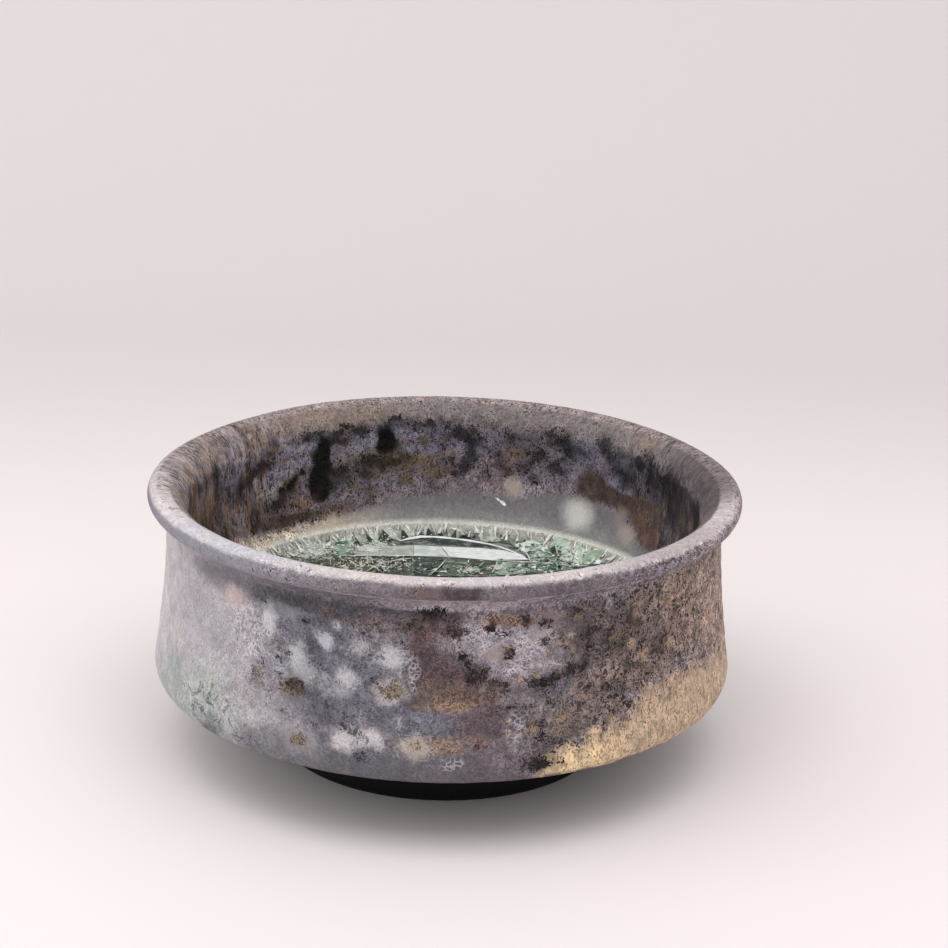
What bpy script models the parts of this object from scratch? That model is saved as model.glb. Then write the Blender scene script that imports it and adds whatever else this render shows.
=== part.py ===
"""A gongfu teacup: a low thrown stoneware bowl with a flared lip, a sharp keel and a turned foot ring,
with a pool of glass melted into its bottom. Units are metres, +Z is up, and the origin is the middle of
the circle that the foot ring stands on."""

import math

import bpy

# Vessel, outside
RIM_DIAMETER = 0.0850
HEIGHT = 0.0395
LIP_THICKNESS = 0.0030
LIP_OVERHANG = 0.0027
LIP_UNDERCUT_ANGLE = 65.0
CREASE_HEIGHT = 0.0020
SHOULDER_OVERHANG = 0.00195
SHOULDER_HEIGHT = 0.0131
KEEL_ROUND_WIDTH = 0.0016
KEEL_ROUND_HEIGHT = 0.0024
WALL_LEAN = 9.2

# Vessel, inside
WALL_THICKNESS = 0.0030
FLARE_HEIGHT = 0.0049
BOWL_SQUARENESS = 3.1
FLOOR_THICKNESS = 0.0062

# Foot ring
FOOT_DIAMETER = 0.0490
FOOT_HEIGHT = 0.0056
FOOT_FILLET = 0.0010
FOOT_CHAMFER = 0.0008
FOOT_RING_WIDTH = 0.0042
RECESS_DEPTH = 0.0046
RECESS_FILLET = 0.0010

# Glass pool
POOL_DEPTH = 0.0078
MENISCUS_RISE = 0.0017
MENISCUS_WIDTH = 0.0036
MENISCUS_STEEPNESS = 38.0
GLASS_GAP = 0.0003

SIDES = 64

# Worked out from the sizes above
RIM_RADIUS = RIM_DIAMETER / 2
NECK_RADIUS = RIM_RADIUS - LIP_OVERHANG
BOWL_RADIUS = NECK_RADIUS - WALL_THICKNESS
BOWL_TOP = HEIGHT - FLARE_HEIGHT
FLOOR_LEVEL = RECESS_DEPTH + FLOOR_THICKNESS
POOL_LEVEL = FLOOR_LEVEL + POOL_DEPTH
FOOT_RADIUS = FOOT_DIAMETER / 2


def arc(centre, radii, start, end, count):
    """Points on an ellipse's arc, from the start angle to the end angle in degrees."""
    points = []
    for i in range(count):
        angle = math.radians(start + (end - start) * i / (count - 1))
        points.append((centre[0] + radii[0] * math.cos(angle), centre[1] + radii[1] * math.sin(angle)))
    return points


def bend(first, handle, last, count):
    """Points on a quadratic curve that leaves the first point and meets the last one along the handle."""
    points = []
    for i in range(count):
        t = i / (count - 1)
        weights = ((1 - t) ** 2, 2 * t * (1 - t), t**2)
        points.append(tuple(sum(w * p[k] for w, p in zip(weights, (first, handle, last))) for k in (0, 1)))
    return points


def bowl_curve(radius, depth, count):
    """The bowl's inner side, from its floor on the axis up to the neck: a quarter of a superellipse."""
    points = []
    for i in range(count):
        angle = math.radians(90 * i / (count - 1))
        across = math.sin(angle) ** (2 / BOWL_SQUARENESS)
        down = math.cos(angle) ** (2 / BOWL_SQUARENESS)
        points.append((radius * across, BOWL_TOP - depth * down))
    return points


def bowl_radius_at(radius, depth, height):
    """The radius of that curve at a height."""
    share = (BOWL_TOP - height) / depth
    return radius * (1 - share**BOWL_SQUARENESS) ** (1 / BOWL_SQUARENESS)


def lip_profile():
    """From the neck's inner side, out over the flare and the rolled edge, to the neck's outer side."""
    half = LIP_THICKNESS / 2
    edge = (RIM_RADIUS - half, HEIGHT - half)
    flare = arc((edge[0], BOWL_TOP), (edge[0] - BOWL_RADIUS, FLARE_HEIGHT), 180, 90, 7)
    roll = arc(edge, (half, half), 90, -LIP_UNDERCUT_ANGLE, 9)
    under = roll[-1]
    turn = math.radians(LIP_UNDERCUT_ANGLE)
    corner = (NECK_RADIUS, under[1] - (under[0] - NECK_RADIUS) / math.tan(turn))
    neck = (NECK_RADIUS, corner[1] - CREASE_HEIGHT / 2)
    return flare[1:] + roll[1:] + bend(under, corner, neck, 4)[1:]


def keel_profile(neck):
    """From the neck's outer side down the leaning wall, round the keel and in under it to the foot."""
    radii = (KEEL_ROUND_WIDTH, KEEL_ROUND_HEIGHT)
    centre = (NECK_RADIUS + SHOULDER_OVERHANG - radii[0], SHOULDER_HEIGHT)
    foot_top = (FOOT_RADIUS + FOOT_FILLET, FOOT_HEIGHT)
    away = ((centre[0] - foot_top[0]) / radii[0], (centre[1] - foot_top[1]) / radii[1])
    underside = math.degrees(math.atan2(away[1], away[0]) - math.asin(1 / math.hypot(*away)))
    lean = math.tan(math.radians(WALL_LEAN))
    start = math.degrees(math.atan(lean * radii[1] / radii[0]))
    keel = arc(centre, radii, start, underside - 90, 7)
    corner = (neck[0], keel[0][1] + (keel[0][0] - neck[0]) / lean)
    return bend(neck, corner, keel[0], 7)[1:] + keel[1:] + [foot_top]


def foot_profile():
    """From the foot's fillet down its side, under the ring and into the turned recess, to the axis."""
    inner = FOOT_RADIUS - FOOT_RING_WIDTH
    fillet = bend(
        (FOOT_RADIUS + FOOT_FILLET, FOOT_HEIGHT),
        (FOOT_RADIUS, FOOT_HEIGHT),
        (FOOT_RADIUS, FOOT_HEIGHT - FOOT_FILLET),
        3,
    )
    ring = [
        (FOOT_RADIUS, FOOT_CHAMFER),
        (FOOT_RADIUS - FOOT_CHAMFER, 0),
        (inner + FOOT_CHAMFER / 2, 0),
        (inner, FOOT_CHAMFER / 2),
    ]
    recess = arc(
        (inner - RECESS_FILLET, RECESS_DEPTH - RECESS_FILLET), (RECESS_FILLET, RECESS_FILLET), 0, 90, 3
    )
    return fillet[1:] + ring + recess + [(0, RECESS_DEPTH)]


def body_profile():
    """The vessel's whole section, from the bowl's floor on the axis to the recess under it."""
    bowl = bowl_curve(BOWL_RADIUS, BOWL_TOP - FLOOR_LEVEL, 13)
    lip = lip_profile()
    return bowl + lip + keel_profile(lip[-1]) + foot_profile()


def pool_profile():
    """The glass: its surface with the climbing edge, then its side and bottom along the bowl, a gap off."""
    radius = BOWL_RADIUS - GLASS_GAP
    depth = BOWL_TOP - FLOOR_LEVEL - GLASS_GAP
    tip_height = POOL_LEVEL + MENISCUS_RISE
    tip_radius = bowl_radius_at(radius, depth, tip_height)
    steep = math.radians(MENISCUS_STEEPNESS)
    spread = MENISCUS_WIDTH / math.sin(steep)
    lift = MENISCUS_RISE / (1 - math.cos(steep))
    edge = arc(
        (tip_radius - MENISCUS_WIDTH, POOL_LEVEL + lift), (spread, lift), -90, MENISCUS_STEEPNESS - 90, 5
    )
    below = [point for point in bowl_curve(radius, depth, 13) if point[1] < tip_height - GLASS_GAP]
    return [(0, POOL_LEVEL)] + edge + below[::-1]


def clay():
    """Wood-fired stoneware: a dull grey glaze over a dark clay."""
    material = bpy.data.materials.new("wood_fired_glaze")
    material.use_nodes = True
    shader = material.node_tree.nodes["Principled BSDF"]
    shader.inputs["Base Color"].default_value = (0.24, 0.23, 0.25, 1)
    shader.inputs["Roughness"].default_value = 0.5
    shader.inputs["Metallic"].default_value = 0
    return material


def green_glass():
    """Crackled green glass."""
    material = bpy.data.materials.new("green_glass")
    material.use_nodes = True
    shader = material.node_tree.nodes["Principled BSDF"]
    shader.inputs["Base Color"].default_value = (0.22, 0.38, 0.30, 1)
    shader.inputs["Roughness"].default_value = 0.08
    shader.inputs["Metallic"].default_value = 0
    shader.inputs["Transmission Weight"].default_value = 0.6
    return material


def turned(name, profile, material, collection):
    """A solid turned about the Z axis from a section that starts and ends on it."""
    mesh = bpy.data.meshes.new(name)
    vertices = [(radius, 0, height) for radius, height in profile]
    edges = [(i, i + 1) for i in range(len(profile) - 1)]
    mesh.from_pydata(vertices, edges, [])
    mesh.materials.append(material)
    obj = bpy.data.objects.new(name, mesh)
    collection.objects.link(obj)
    screw = obj.modifiers.new("turn", "SCREW")
    screw.axis = "Z"
    screw.angle = 2 * math.pi
    screw.steps = SIDES
    screw.render_steps = SIDES
    screw.use_merge_vertices = True
    screw.merge_threshold = 0.00002
    screw.use_smooth_shade = True
    return obj


def main():
    for old in list(bpy.data.objects):
        bpy.data.objects.remove(old)
    collection = bpy.data.collections.new("gongfu_teacup")
    bpy.context.scene.collection.children.link(collection)
    turned("cup_body", body_profile(), clay(), collection)
    turned("glass_pool", pool_profile(), green_glass(), collection)


main()
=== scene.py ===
"""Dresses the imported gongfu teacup: a wood-fired stoneware cup with crackled green glass melted into it.
Lengths are in millimetres until a mesh is made. Azimuth 0 faces the camera, -Y, and grows to the right, +X.
Colours are given as they look in a picture, 0 to 255, and become linear in tone()."""

import functools
import itertools
import math

import bpy
import numpy as np
from mathutils import Matrix, Vector


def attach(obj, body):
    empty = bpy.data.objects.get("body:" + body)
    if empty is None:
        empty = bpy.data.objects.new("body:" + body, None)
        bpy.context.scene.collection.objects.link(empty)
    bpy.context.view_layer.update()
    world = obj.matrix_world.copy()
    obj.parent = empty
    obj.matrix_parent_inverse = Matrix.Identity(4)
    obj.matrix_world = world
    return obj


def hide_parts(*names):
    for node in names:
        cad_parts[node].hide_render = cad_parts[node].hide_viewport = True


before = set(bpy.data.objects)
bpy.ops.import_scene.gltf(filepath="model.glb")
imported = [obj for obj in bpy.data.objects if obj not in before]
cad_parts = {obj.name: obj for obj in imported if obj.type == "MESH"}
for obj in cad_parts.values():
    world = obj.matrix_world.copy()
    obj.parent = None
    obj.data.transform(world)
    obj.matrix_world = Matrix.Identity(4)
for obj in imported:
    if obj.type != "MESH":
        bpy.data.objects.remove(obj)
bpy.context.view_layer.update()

MM = 0.001

# The solids' own sizes, repeated here because this script reads nothing but the frame
RIM_RADIUS = 42.5
HEIGHT = 39.5
LIP_THICKNESS = 3.0
LIP_OVERHANG = 2.7
LIP_UNDERCUT_ANGLE = 65.0
CREASE_HEIGHT = 2.0
SHOULDER_OVERHANG = 1.95
SHOULDER_HEIGHT = 13.1
KEEL_ROUND_WIDTH = 1.6
KEEL_ROUND_HEIGHT = 2.4
WALL_LEAN = 9.2
WALL_THICKNESS = 3.0
FLARE_HEIGHT = 4.9
BOWL_SQUARENESS = 3.1
FLOOR_LEVEL = 10.8
FOOT_RADIUS = 24.5
FOOT_HEIGHT = 5.6
FOOT_FILLET = 1.0
FOOT_CHAMFER = 0.8
FOOT_RING_WIDTH = 4.2
RECESS_DEPTH = 4.6
RECESS_FILLET = 1.0
POOL_LEVEL = 18.6
MENISCUS_RISE = 1.7
MENISCUS_WIDTH = 3.6
# The glass is melted onto the bowl and its edge climbs a little
MELT = 0.04
MELT_CLIMB = 0.3
MELT_STEEPNESS = 46.0
NECK_RADIUS = RIM_RADIUS - LIP_OVERHANG
BOWL_RADIUS = NECK_RADIUS - WALL_THICKNESS
BOWL_TOP = HEIGHT - FLARE_HEIGHT
LIP_CENTRE_HEIGHT = HEIGHT - LIP_THICKNESS / 2

# Camera, in the photograph's place
ELEVATION = math.radians(18.2)
ROLL = math.radians(1.4)
DISTANCE = 340.0
OFF_RIGHT = 4.07
OFF_UP = 1.95
LENS = 90.06
SENSOR = 36.0

# The backdrop's floor ends and its curve begins this far behind the cup's axis
SWEEP_START = 220.0
SWEEP_RADIUS = 200.0

# Points in each ring of the turned meshes
TURNS = 432
# Mean radii of the wall, inside and outside, and the one that textures are laid round
WALL_RADIUS = 36.5
OUTER_RADIUS = 39
UNROLLED_RADIUS = 40
IN, OUT = 0, 1
GRAINS = ("stipple", "frost", "fur", "gloss", "lace", "crackle", "hue")
GLAZE_SHINE = 0.22


def add_camera():
    data = bpy.data.cameras.new("camera")
    data.lens = LENS
    data.sensor_width = SENSOR
    data.clip_start = 0.01
    camera = bpy.data.objects.new("camera", data)
    bpy.context.scene.collection.objects.link(camera)
    right = Vector((1, 0, 0))
    up = Vector((0, math.sin(ELEVATION), math.cos(ELEVATION)))
    back = Vector((0, -math.cos(ELEVATION), math.sin(ELEVATION)))
    place = Vector((0, 0, LIP_CENTRE_HEIGHT)) + right * OFF_RIGHT + up * OFF_UP + back * DISTANCE
    turn = Matrix((right, up, back)).transposed() @ Matrix.Rotation(ROLL, 3, "Z")
    camera.matrix_world = Matrix.Translation(place * MM) @ turn.to_4x4()
    bpy.context.scene.camera = camera


# Section of the cup


def arc(centre, radii, start, end, count=60):
    """Points on an ellipse's arc, from the start angle to the end angle in degrees."""
    angle = np.radians(np.linspace(start, end, count))
    return np.stack([centre[0] + radii[0] * np.cos(angle), centre[1] + radii[1] * np.sin(angle)], 1)


def bend(first, handle, last, count=60):
    """Points on a quadratic curve that leaves the first point and meets the last one along the handle."""
    t = np.linspace(0, 1, count)[:, None]
    first, handle, last = (np.asarray(p, float) for p in (first, handle, last))
    return (1 - t) ** 2 * first + 2 * t * (1 - t) * handle + t**2 * last


def spaced(points, step):
    """The same line with points about a step apart."""
    points = np.asarray(points, float)
    run = np.concatenate([[0], np.cumsum(np.hypot(*np.diff(points, axis=0).T))])
    at = np.linspace(0, run[-1], max(2, int(round(run[-1] / step)) + 1))
    return np.stack([np.interp(at, run, points[:, k]) for k in (0, 1)], 1)


def bowl_curve(radius, depth, count=900):
    """The bowl's section from the middle of its floor up to the flare: a quarter of a squarish oval."""
    angle = np.linspace(0, math.pi / 2, count)
    across = np.sin(angle) ** (2 / BOWL_SQUARENESS)
    down = np.cos(angle) ** (2 / BOWL_SQUARENESS)
    return np.stack([radius * across, BOWL_TOP - depth * down], 1)


def bowl_radius_at(radius, depth, height):
    """How wide that section is at a height."""
    share = (BOWL_TOP - height) / depth
    return radius * (1 - share**BOWL_SQUARENESS) ** (1 / BOWL_SQUARENESS)


def join(*lines):
    """Lines end to end, with each shared point once."""
    rows = [lines[0]] + [line[1:] for line in lines[1:]]
    return np.concatenate(rows)


def cup_section():
    """The vessel's section from the bowl's floor to the recess, and how many of its points lie inside."""
    bowl = bowl_curve(BOWL_RADIUS, BOWL_TOP - FLOOR_LEVEL)
    low = spaced(bowl[bowl[:, 1] < 17.5], 1.3)
    high = spaced(bowl[bowl[:, 1] >= 17.5], 0.39)
    half = LIP_THICKNESS / 2
    edge = (RIM_RADIUS - half, HEIGHT - half)
    flare = arc((edge[0], BOWL_TOP), (edge[0] - BOWL_RADIUS, FLARE_HEIGHT), 180, 90)
    roll = arc(edge, (half, half), 90, -LIP_UNDERCUT_ANGLE)
    under = roll[-1]
    corner = (NECK_RADIUS, under[1] - (under[0] - NECK_RADIUS) / math.tan(math.radians(LIP_UNDERCUT_ANGLE)))
    neck = (NECK_RADIUS, corner[1] - CREASE_HEIGHT / 2)
    crease = bend(under, corner, neck)
    radii = (KEEL_ROUND_WIDTH, KEEL_ROUND_HEIGHT)
    centre = (NECK_RADIUS + SHOULDER_OVERHANG - radii[0], SHOULDER_HEIGHT)
    foot_top = (FOOT_RADIUS + FOOT_FILLET, FOOT_HEIGHT)
    away = ((centre[0] - foot_top[0]) / radii[0], (centre[1] - foot_top[1]) / radii[1])
    underside = math.degrees(math.atan2(away[1], away[0]) - math.asin(1 / math.hypot(*away)))
    lean = math.tan(math.radians(WALL_LEAN))
    start = math.degrees(math.atan(lean * radii[1] / radii[0]))
    keel = arc(centre, radii, start, underside - 90)
    corner = (neck[0], keel[0][1] + (keel[0][0] - neck[0]) / lean)
    wall = bend(neck, corner, keel[0])
    inner = FOOT_RADIUS - FOOT_RING_WIDTH
    fillet = bend(foot_top, (FOOT_RADIUS, FOOT_HEIGHT), (FOOT_RADIUS, FOOT_HEIGHT - FOOT_FILLET))
    ring = [
        [(FOOT_RADIUS, FOOT_HEIGHT - FOOT_FILLET), (FOOT_RADIUS, FOOT_CHAMFER)],
        [(FOOT_RADIUS, FOOT_CHAMFER), (FOOT_RADIUS - FOOT_CHAMFER, 0)],
        [(FOOT_RADIUS - FOOT_CHAMFER, 0), (inner + FOOT_CHAMFER / 2, 0)],
        [(inner + FOOT_CHAMFER / 2, 0), (inner, FOOT_CHAMFER / 2)],
        [(inner, FOOT_CHAMFER / 2), (inner, RECESS_DEPTH - RECESS_FILLET)],
    ]
    recess = arc((inner - RECESS_FILLET, RECESS_DEPTH - RECESS_FILLET), (RECESS_FILLET,) * 2, 0, 90)
    centre_line = [(inner - RECESS_FILLET, RECESS_DEPTH), (0, RECESS_DEPTH)]
    inside = join(np.concatenate([low, high]), spaced(flare, 0.32))
    outside = join(
        spaced(roll, 0.26),
        spaced(crease, 0.34),
        spaced(wall, 0.40),
        spaced(keel, 0.32),
        spaced([keel[-1], foot_top], 1.3),
        spaced(fillet, 0.4),
        *[spaced(line, step) for line, step in zip(ring, (0.8, 0.3, 1.4, 0.3, 1.1))],
        spaced(recess, 0.5),
        spaced(centre_line, 3.2),
    )
    return join(inside, outside), len(inside)


def pool_section():
    """The glass: its surface with the climbing edge, then down along the bowl, melted to it."""
    radius = BOWL_RADIUS + MELT
    depth = BOWL_TOP - FLOOR_LEVEL + MELT
    tip_height = POOL_LEVEL + MENISCUS_RISE + MELT_CLIMB
    tip_radius = bowl_radius_at(radius, depth, tip_height)
    steep = math.radians(MELT_STEEPNESS)
    spread = MENISCUS_WIDTH / math.sin(steep)
    lift = (MENISCUS_RISE + MELT_CLIMB) / (1 - math.cos(steep))
    climb = arc((tip_radius - MENISCUS_WIDTH, POOL_LEVEL + lift), (spread, lift), -90, MELT_STEEPNESS - 90)
    flat = spaced([(0, POOL_LEVEL), (tip_radius - MENISCUS_WIDTH, POOL_LEVEL)], 0.7)
    below = bowl_curve(radius, depth)
    below = below[below[:, 1] < tip_height - 0.2][::-1]
    return join(flat, spaced(climb, 0.25), spaced(np.concatenate([climb[-1:], below]), 1.2))


@functools.cache
def glass_profile():
    """Distances from the axis and heights along the glass's surface, out to its tip."""
    line = pool_section()
    line = line[: np.argmax(line[:, 0]) + 1]
    return line[:, 0], line[:, 1]


def glass_height(radius):
    """The height of the glass surface at a distance from the axis."""
    return float(np.interp(radius, *glass_profile()))


# Noise and colour


class Lattice:
    """Smooth noise from 0 to 1 at points in space, the same on every run."""

    def __init__(self, seed):
        random = np.random.default_rng(seed)
        self.order = random.permutation(4096)
        self.height = random.random(4096)

    def at(self, points):
        base = np.floor(points).astype(np.int64)
        part = points - base
        part = part * part * (3 - 2 * part)
        total = np.zeros(len(points))
        for corner in itertools.product((0, 1), repeat=3):
            cell = (base + corner) & 4095
            pick = self.order[(self.order[(self.order[cell[:, 0]] + cell[:, 1]) & 4095] + cell[:, 2]) & 4095]
            share = np.where(corner, part, 1 - part).prod(1)
            total += share * self.height[pick]
        return total


LATTICE = Lattice(7)


def wave(points, size, octaves=3, shift=0.0):
    """Layered noise about 0, mostly within 1 either way, with features of a size."""
    total, weight, most = 0.0, 1.0, 0.0
    for octave in range(octaves):
        total = total + weight * (2 * LATTICE.at(points / size * 2.03**octave + shift + 19.7 * octave) - 1)
        most += weight
        weight *= 0.55
    return total / most * 1.5


def linear(colour):
    """A colour as it looks in a picture, 0 to 255, as amounts of light."""
    c = np.asarray(colour, float) / 255
    return np.where(c < 0.04045, c / 12.92, ((c + 0.055) / 1.055) ** 2.4)


def tone(colour, gain=1.2):
    """The glaze's own colour, from how it looks where it lies."""
    return np.clip(linear(colour) * gain, 0, 0.93)


def ease(value, low, high):
    """A smooth step from 0 at the first limit to 1 at the second."""
    t = np.clip((value - low) / (high - low), 0, 1)
    return t * t * (3 - 2 * t)


# The cup's skin: where each point lies, and what the glaze does there


def per_point(values):
    """One value for each point, from one for each ring. The first and the last ring are single points."""
    return np.concatenate([np.repeat(values[1:-1], TURNS), values[[0, -1]]])


class Skin:
    """The points of a turned surface, with their colours and grains."""

    def __init__(self, section, inside_count):
        tangent = np.gradient(section, axis=0)
        tangent /= np.hypot(*tangent.T)[:, None]
        run = np.concatenate([[0], np.cumsum(np.hypot(*np.diff(section, axis=0).T))])
        turn = np.arange(TURNS) * 2 * math.pi / TURNS
        self.rows = len(section) - 2
        self.radius = per_point(section[:, 0])
        self.z = per_point(section[:, 1])
        self.side = per_point((np.arange(len(section)) >= inside_count).astype(int))
        self.angle = np.concatenate([np.tile(turn, len(section) - 2), [0, 0]])
        self.azimuth = (np.degrees(self.angle) + 180) % 360 - 180
        self.out_r = per_point(-tangent[:, 1])
        self.out_z = per_point(tangent[:, 0])
        # The place that noise and textures go by: round the wall, and along the section
        around = (UNROLLED_RADIUS * np.sin(self.angle), -UNROLLED_RADIUS * np.cos(self.angle))
        self.lie = np.stack([*around, per_point(run)], 1)
        count = len(self.z)
        self.ground = np.zeros((count, 3))
        self.mark = np.zeros((count, 3))
        self.mark_amount = np.zeros(count)
        self.grain = {name: np.zeros(count) for name in GRAINS}
        self.relief = np.zeros(count)
        self.waves = {}
        # How much paler the glaze is than it looks: the bowl lies in its own shade, the outside in the light
        deep = 1 - ease(self.z, 32.5, 38.0)
        self.gain = np.where(self.side == OUT, 0.9, 0.88 + 0.42 * deep)[:, None]

    def wobble(self, size):
        if size not in self.waves:
            self.waves[size] = wave(self.lie, size, 3, shift=3.3 * size)
        return self.waves[size]

    def off(self, azimuth):
        """Degrees from an azimuth, up to 180 either way."""
        return (self.azimuth - azimuth + 180) % 360 - 180

    def near(self, side, azimuth, height, wide, tall, wobble=0.3, size=3.0):
        """How far each point is from a place, as a share of the half sizes, roughened by noise."""
        across = np.radians(self.off(azimuth)) * np.maximum(self.radius, 8)
        far = np.hypot(across / wide, (self.z - height) / tall) + wobble * self.wobble(size)
        return np.where(self.side == side, far, 99)

    def near_line(self, side, start, end, wide, wobble=0.2, size=2.0):
        """The same from a line between two places, whose half width runs from one value to the other."""
        scale = WALL_RADIUS * math.pi / 180
        px = self.off(start[0]) * scale
        pz = self.z - start[1]
        dx = ((end[0] - start[0] + 180) % 360 - 180) * scale
        dz = end[1] - start[1]
        t = np.clip((px * dx + pz * dz) / (dx * dx + dz * dz), 0, 1)
        far = np.hypot(px - t * dx, pz - t * dz) / (wide[0] + (wide[1] - wide[0]) * t)
        return np.where(self.side == side, far + wobble * self.wobble(size), 99)

    def patch(self, side, azimuth, height, wide, tall, soft, wobble=0.4, size=4.0):
        """1 in an oval place and 0 outside it, with a soft ragged edge."""
        return inside_mask(self.near(side, azimuth, height, wide, tall, wobble, size), soft)

    def tint(self, mask, colour, strength=1.0):
        """Soaks a colour into the ground, under the glaze's threads."""
        share = (mask * strength)[:, None]
        self.ground = self.ground * (1 - share) + tone(colour, self.gain) * share

    def put(self, mask, colour, strength=1.0, relief=0.0, gloss=None):
        """Lays a mark over the ground, whose edge breaks up with the threads."""
        share = mask * strength
        total = self.mark_amount * (1 - share) + share
        keep = np.where(total > 1e-6, share / np.maximum(total, 1e-6), 0)[:, None]
        self.mark = self.mark * (1 - keep) + tone(colour, self.gain) * keep
        self.mark_amount = total
        self.relief += relief * mask
        if gloss is not None:
            self.set_grain(mask, gloss=gloss)

    def set_grain(self, mask, **values):
        for name, value in values.items():
            self.grain[name] = self.grain[name] * (1 - mask) + value * mask


def hump(value, middle, outer, inner):
    """1 near the middle, and 0 beyond the outer distance from it."""
    return ease(-np.abs(value - middle), -outer, -inner)


def inside_mask(distance, soft=0.35):
    """1 where a distance is well under 1, and 0 where it is well over."""
    return 1 - ease(distance, 1 - soft, 1 + soft)


def scatter_spots(skin, side, spots, seed):
    """Stains that soak into the glaze, with small ones around the dark ones."""
    random = np.random.default_rng(seed)
    for a, h, wide, tall, colour, strength in spots:
        dark = sum(colour) < 190
        if dark:
            colour = tuple(0.7 * c for c in colour)
        far = skin.near(side, a, h, wide, tall, 0.4, 1.2)
        skin.tint(inside_mask(far, 1.1), colour, 0.75 * strength)
        skin.put(inside_mask(far, 0.9), colour, 0.62 * strength)
        for _ in range(5 if dark else 2):
            x, y = random.normal(0, 0.85, 2)
            size = random.uniform(0.2, 0.5)
            place = (a + math.degrees(x * wide / OUTER_RADIUS), h + y * tall)
            far = skin.near(side, *place, max(0.4, wide * size), max(0.35, tall * size), 0.35, 1.2)
            skin.put(inside_mask(far, 0.9), colour, strength * random.uniform(0.35, 0.75))


def scatter_tufts(skin, side, area, size, colours, count, seed):
    """Streaks of other colours in a part of the wall, given by its azimuths and then its heights."""
    random = np.random.default_rng(seed)
    for _ in range(count):
        azimuth = random.uniform(*area[:2])
        height = random.uniform(*area[2:])
        wide, tall = (size[k] * random.uniform(0.6, 1.5) for k in (0, 1))
        colour = colours[random.integers(len(colours))]
        far = skin.near(side, azimuth, height, wide, tall, 0.4, 1.2)
        strength = random.uniform(0.3, 0.85)
        skin.tint(inside_mask(far, 0.8), colour, 0.6 * strength)
        skin.put(inside_mask(far, 0.7), colour, 0.8 * strength)


# azimuth, height, half width, half height, softness, colour, strength
OUTSIDE_GROUNDS = (
    (-84, 26, 32, 40, 0.25, (182, 177, 181), 1.0),
    (-47, 27, 9, 16, 0.4, (170, 166, 173), 0.9),
    (-62, 30, 5, 6, 0.6, (160, 156, 162), 0.6),
    (-56, 14.5, 12, 4.5, 0.5, (154, 160, 158), 0.9),
    (-48, 16.0, 7, 4.0, 0.5, (174, 180, 176), 0.9),
    (-47, 13.2, 2.2, 1.2, 0.6, (96, 101, 104), 0.8),
    (-49, 11.6, 2.0, 0.9, 0.6, (84, 88, 92), 0.8),
    (-39, 17.5, 5, 4, 0.6, (172, 168, 170), 0.8),
    (-33, 19.5, 4, 3, 0.6, (156, 152, 157), 0.6),
    (-42, 34.0, 13, 1.9, 0.6, (104, 100, 108), 0.85),
    (-17, 33.4, 13, 2.6, 0.5, (70, 67, 76), 0.95),
    (-32, 29, 3.4, 1.6, 0.6, (112, 108, 118), 0.5),
    (-22, 27, 6, 4, 0.5, (84, 83, 94), 0.9),
    (-13, 25, 3, 2.4, 0.5, (82, 80, 90), 0.8),
    (-19, 20.5, 6, 2.2, 0.5, (86, 85, 95), 0.9),
    (-4.5, 21.9, 1.6, 1.6, 0.6, (66, 63, 72), 0.8),
    (-3, 19.0, 5.0, 2.4, 0.5, (100, 100, 110), 0.85),
    (-16, 13.5, 14, 2.4, 0.5, (102, 101, 108), 0.85),
    (-31, 12.9, 7, 2.2, 0.5, (124, 122, 128), 0.8),
    (-29, 24.8, 3.2, 2.6, 0.6, (146, 144, 151), 0.7),
    (-12, 27.5, 5, 3, 0.6, (120, 117, 126), 0.6),
    (-8, 32, 5, 2, 0.5, (112, 100, 105), 0.7),
    (2, 28.5, 5.4, 4.6, 0.4, (78, 60, 64), 0.95),
    (-2, 32, 3.6, 2, 0.5, (96, 76, 79), 0.8),
    (3.5, 31.0, 2.4, 1.2, 0.6, (118, 108, 116), 0.6),
    (6, 26.0, 3.8, 3.0, 0.5, (88, 70, 73), 0.85),
    (3.5, 23.0, 6.0, 2.0, 0.5, (102, 84, 76), 0.85),
    (9, 19.6, 3.6, 2.6, 0.5, (88, 71, 76), 0.95),
    (3, 16.3, 7.0, 1.3, 0.5, (126, 108, 102), 0.7),
    (13, 30.5, 6, 3.5, 0.5, (168, 162, 170), 0.9),
    (15, 33.2, 4.5, 1.2, 0.6, (112, 96, 96), 0.7),
    (19, 28.0, 4.5, 3, 0.5, (168, 160, 168), 0.85),
    (24, 30.2, 3.5, 2.6, 0.5, (174, 166, 172), 0.9),
    (29, 28, 5.0, 3.6, 0.5, (118, 108, 110), 0.8),
    (13, 24.0, 4, 2.0, 0.5, (140, 131, 139), 0.8),
    (18, 22.0, 4, 2.0, 0.5, (108, 100, 105), 0.8),
    (12, 14.6, 6, 1.6, 0.5, (112, 100, 108), 0.8),
    (22, 18.5, 4.5, 3.0, 0.5, (104, 93, 86), 0.7),
    (35, 26, 8, 10, 0.5, (90, 79, 78), 0.95),
    (33, 22, 4, 3, 0.5, (128, 112, 108), 0.8),
    (56, 30, 14, 9, 0.35, (98, 86, 82), 0.95),
    (53, 31.5, 4.5, 4.6, 0.5, (122, 105, 95), 0.8),
    (46, 23, 7, 4, 0.5, (106, 93, 87), 0.7),
    (62, 25, 6, 4, 0.5, (122, 106, 97), 0.8),
    (80, 26, 12, 12, 0.4, (138, 120, 110), 0.9),
    (130, 24, 26, 20, 0.5, (118, 107, 110), 0.9),
    (-140, 24, 30, 20, 0.5, (130, 124, 132), 0.9),
    (165, 20, 14, 8, 0.5, (150, 130, 118), 0.8),
    (-168, 30, 12, 6, 0.5, (92, 82, 88), 0.8),
    (112, 31, 9, 5, 0.5, (84, 72, 72), 0.8),
)
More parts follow.
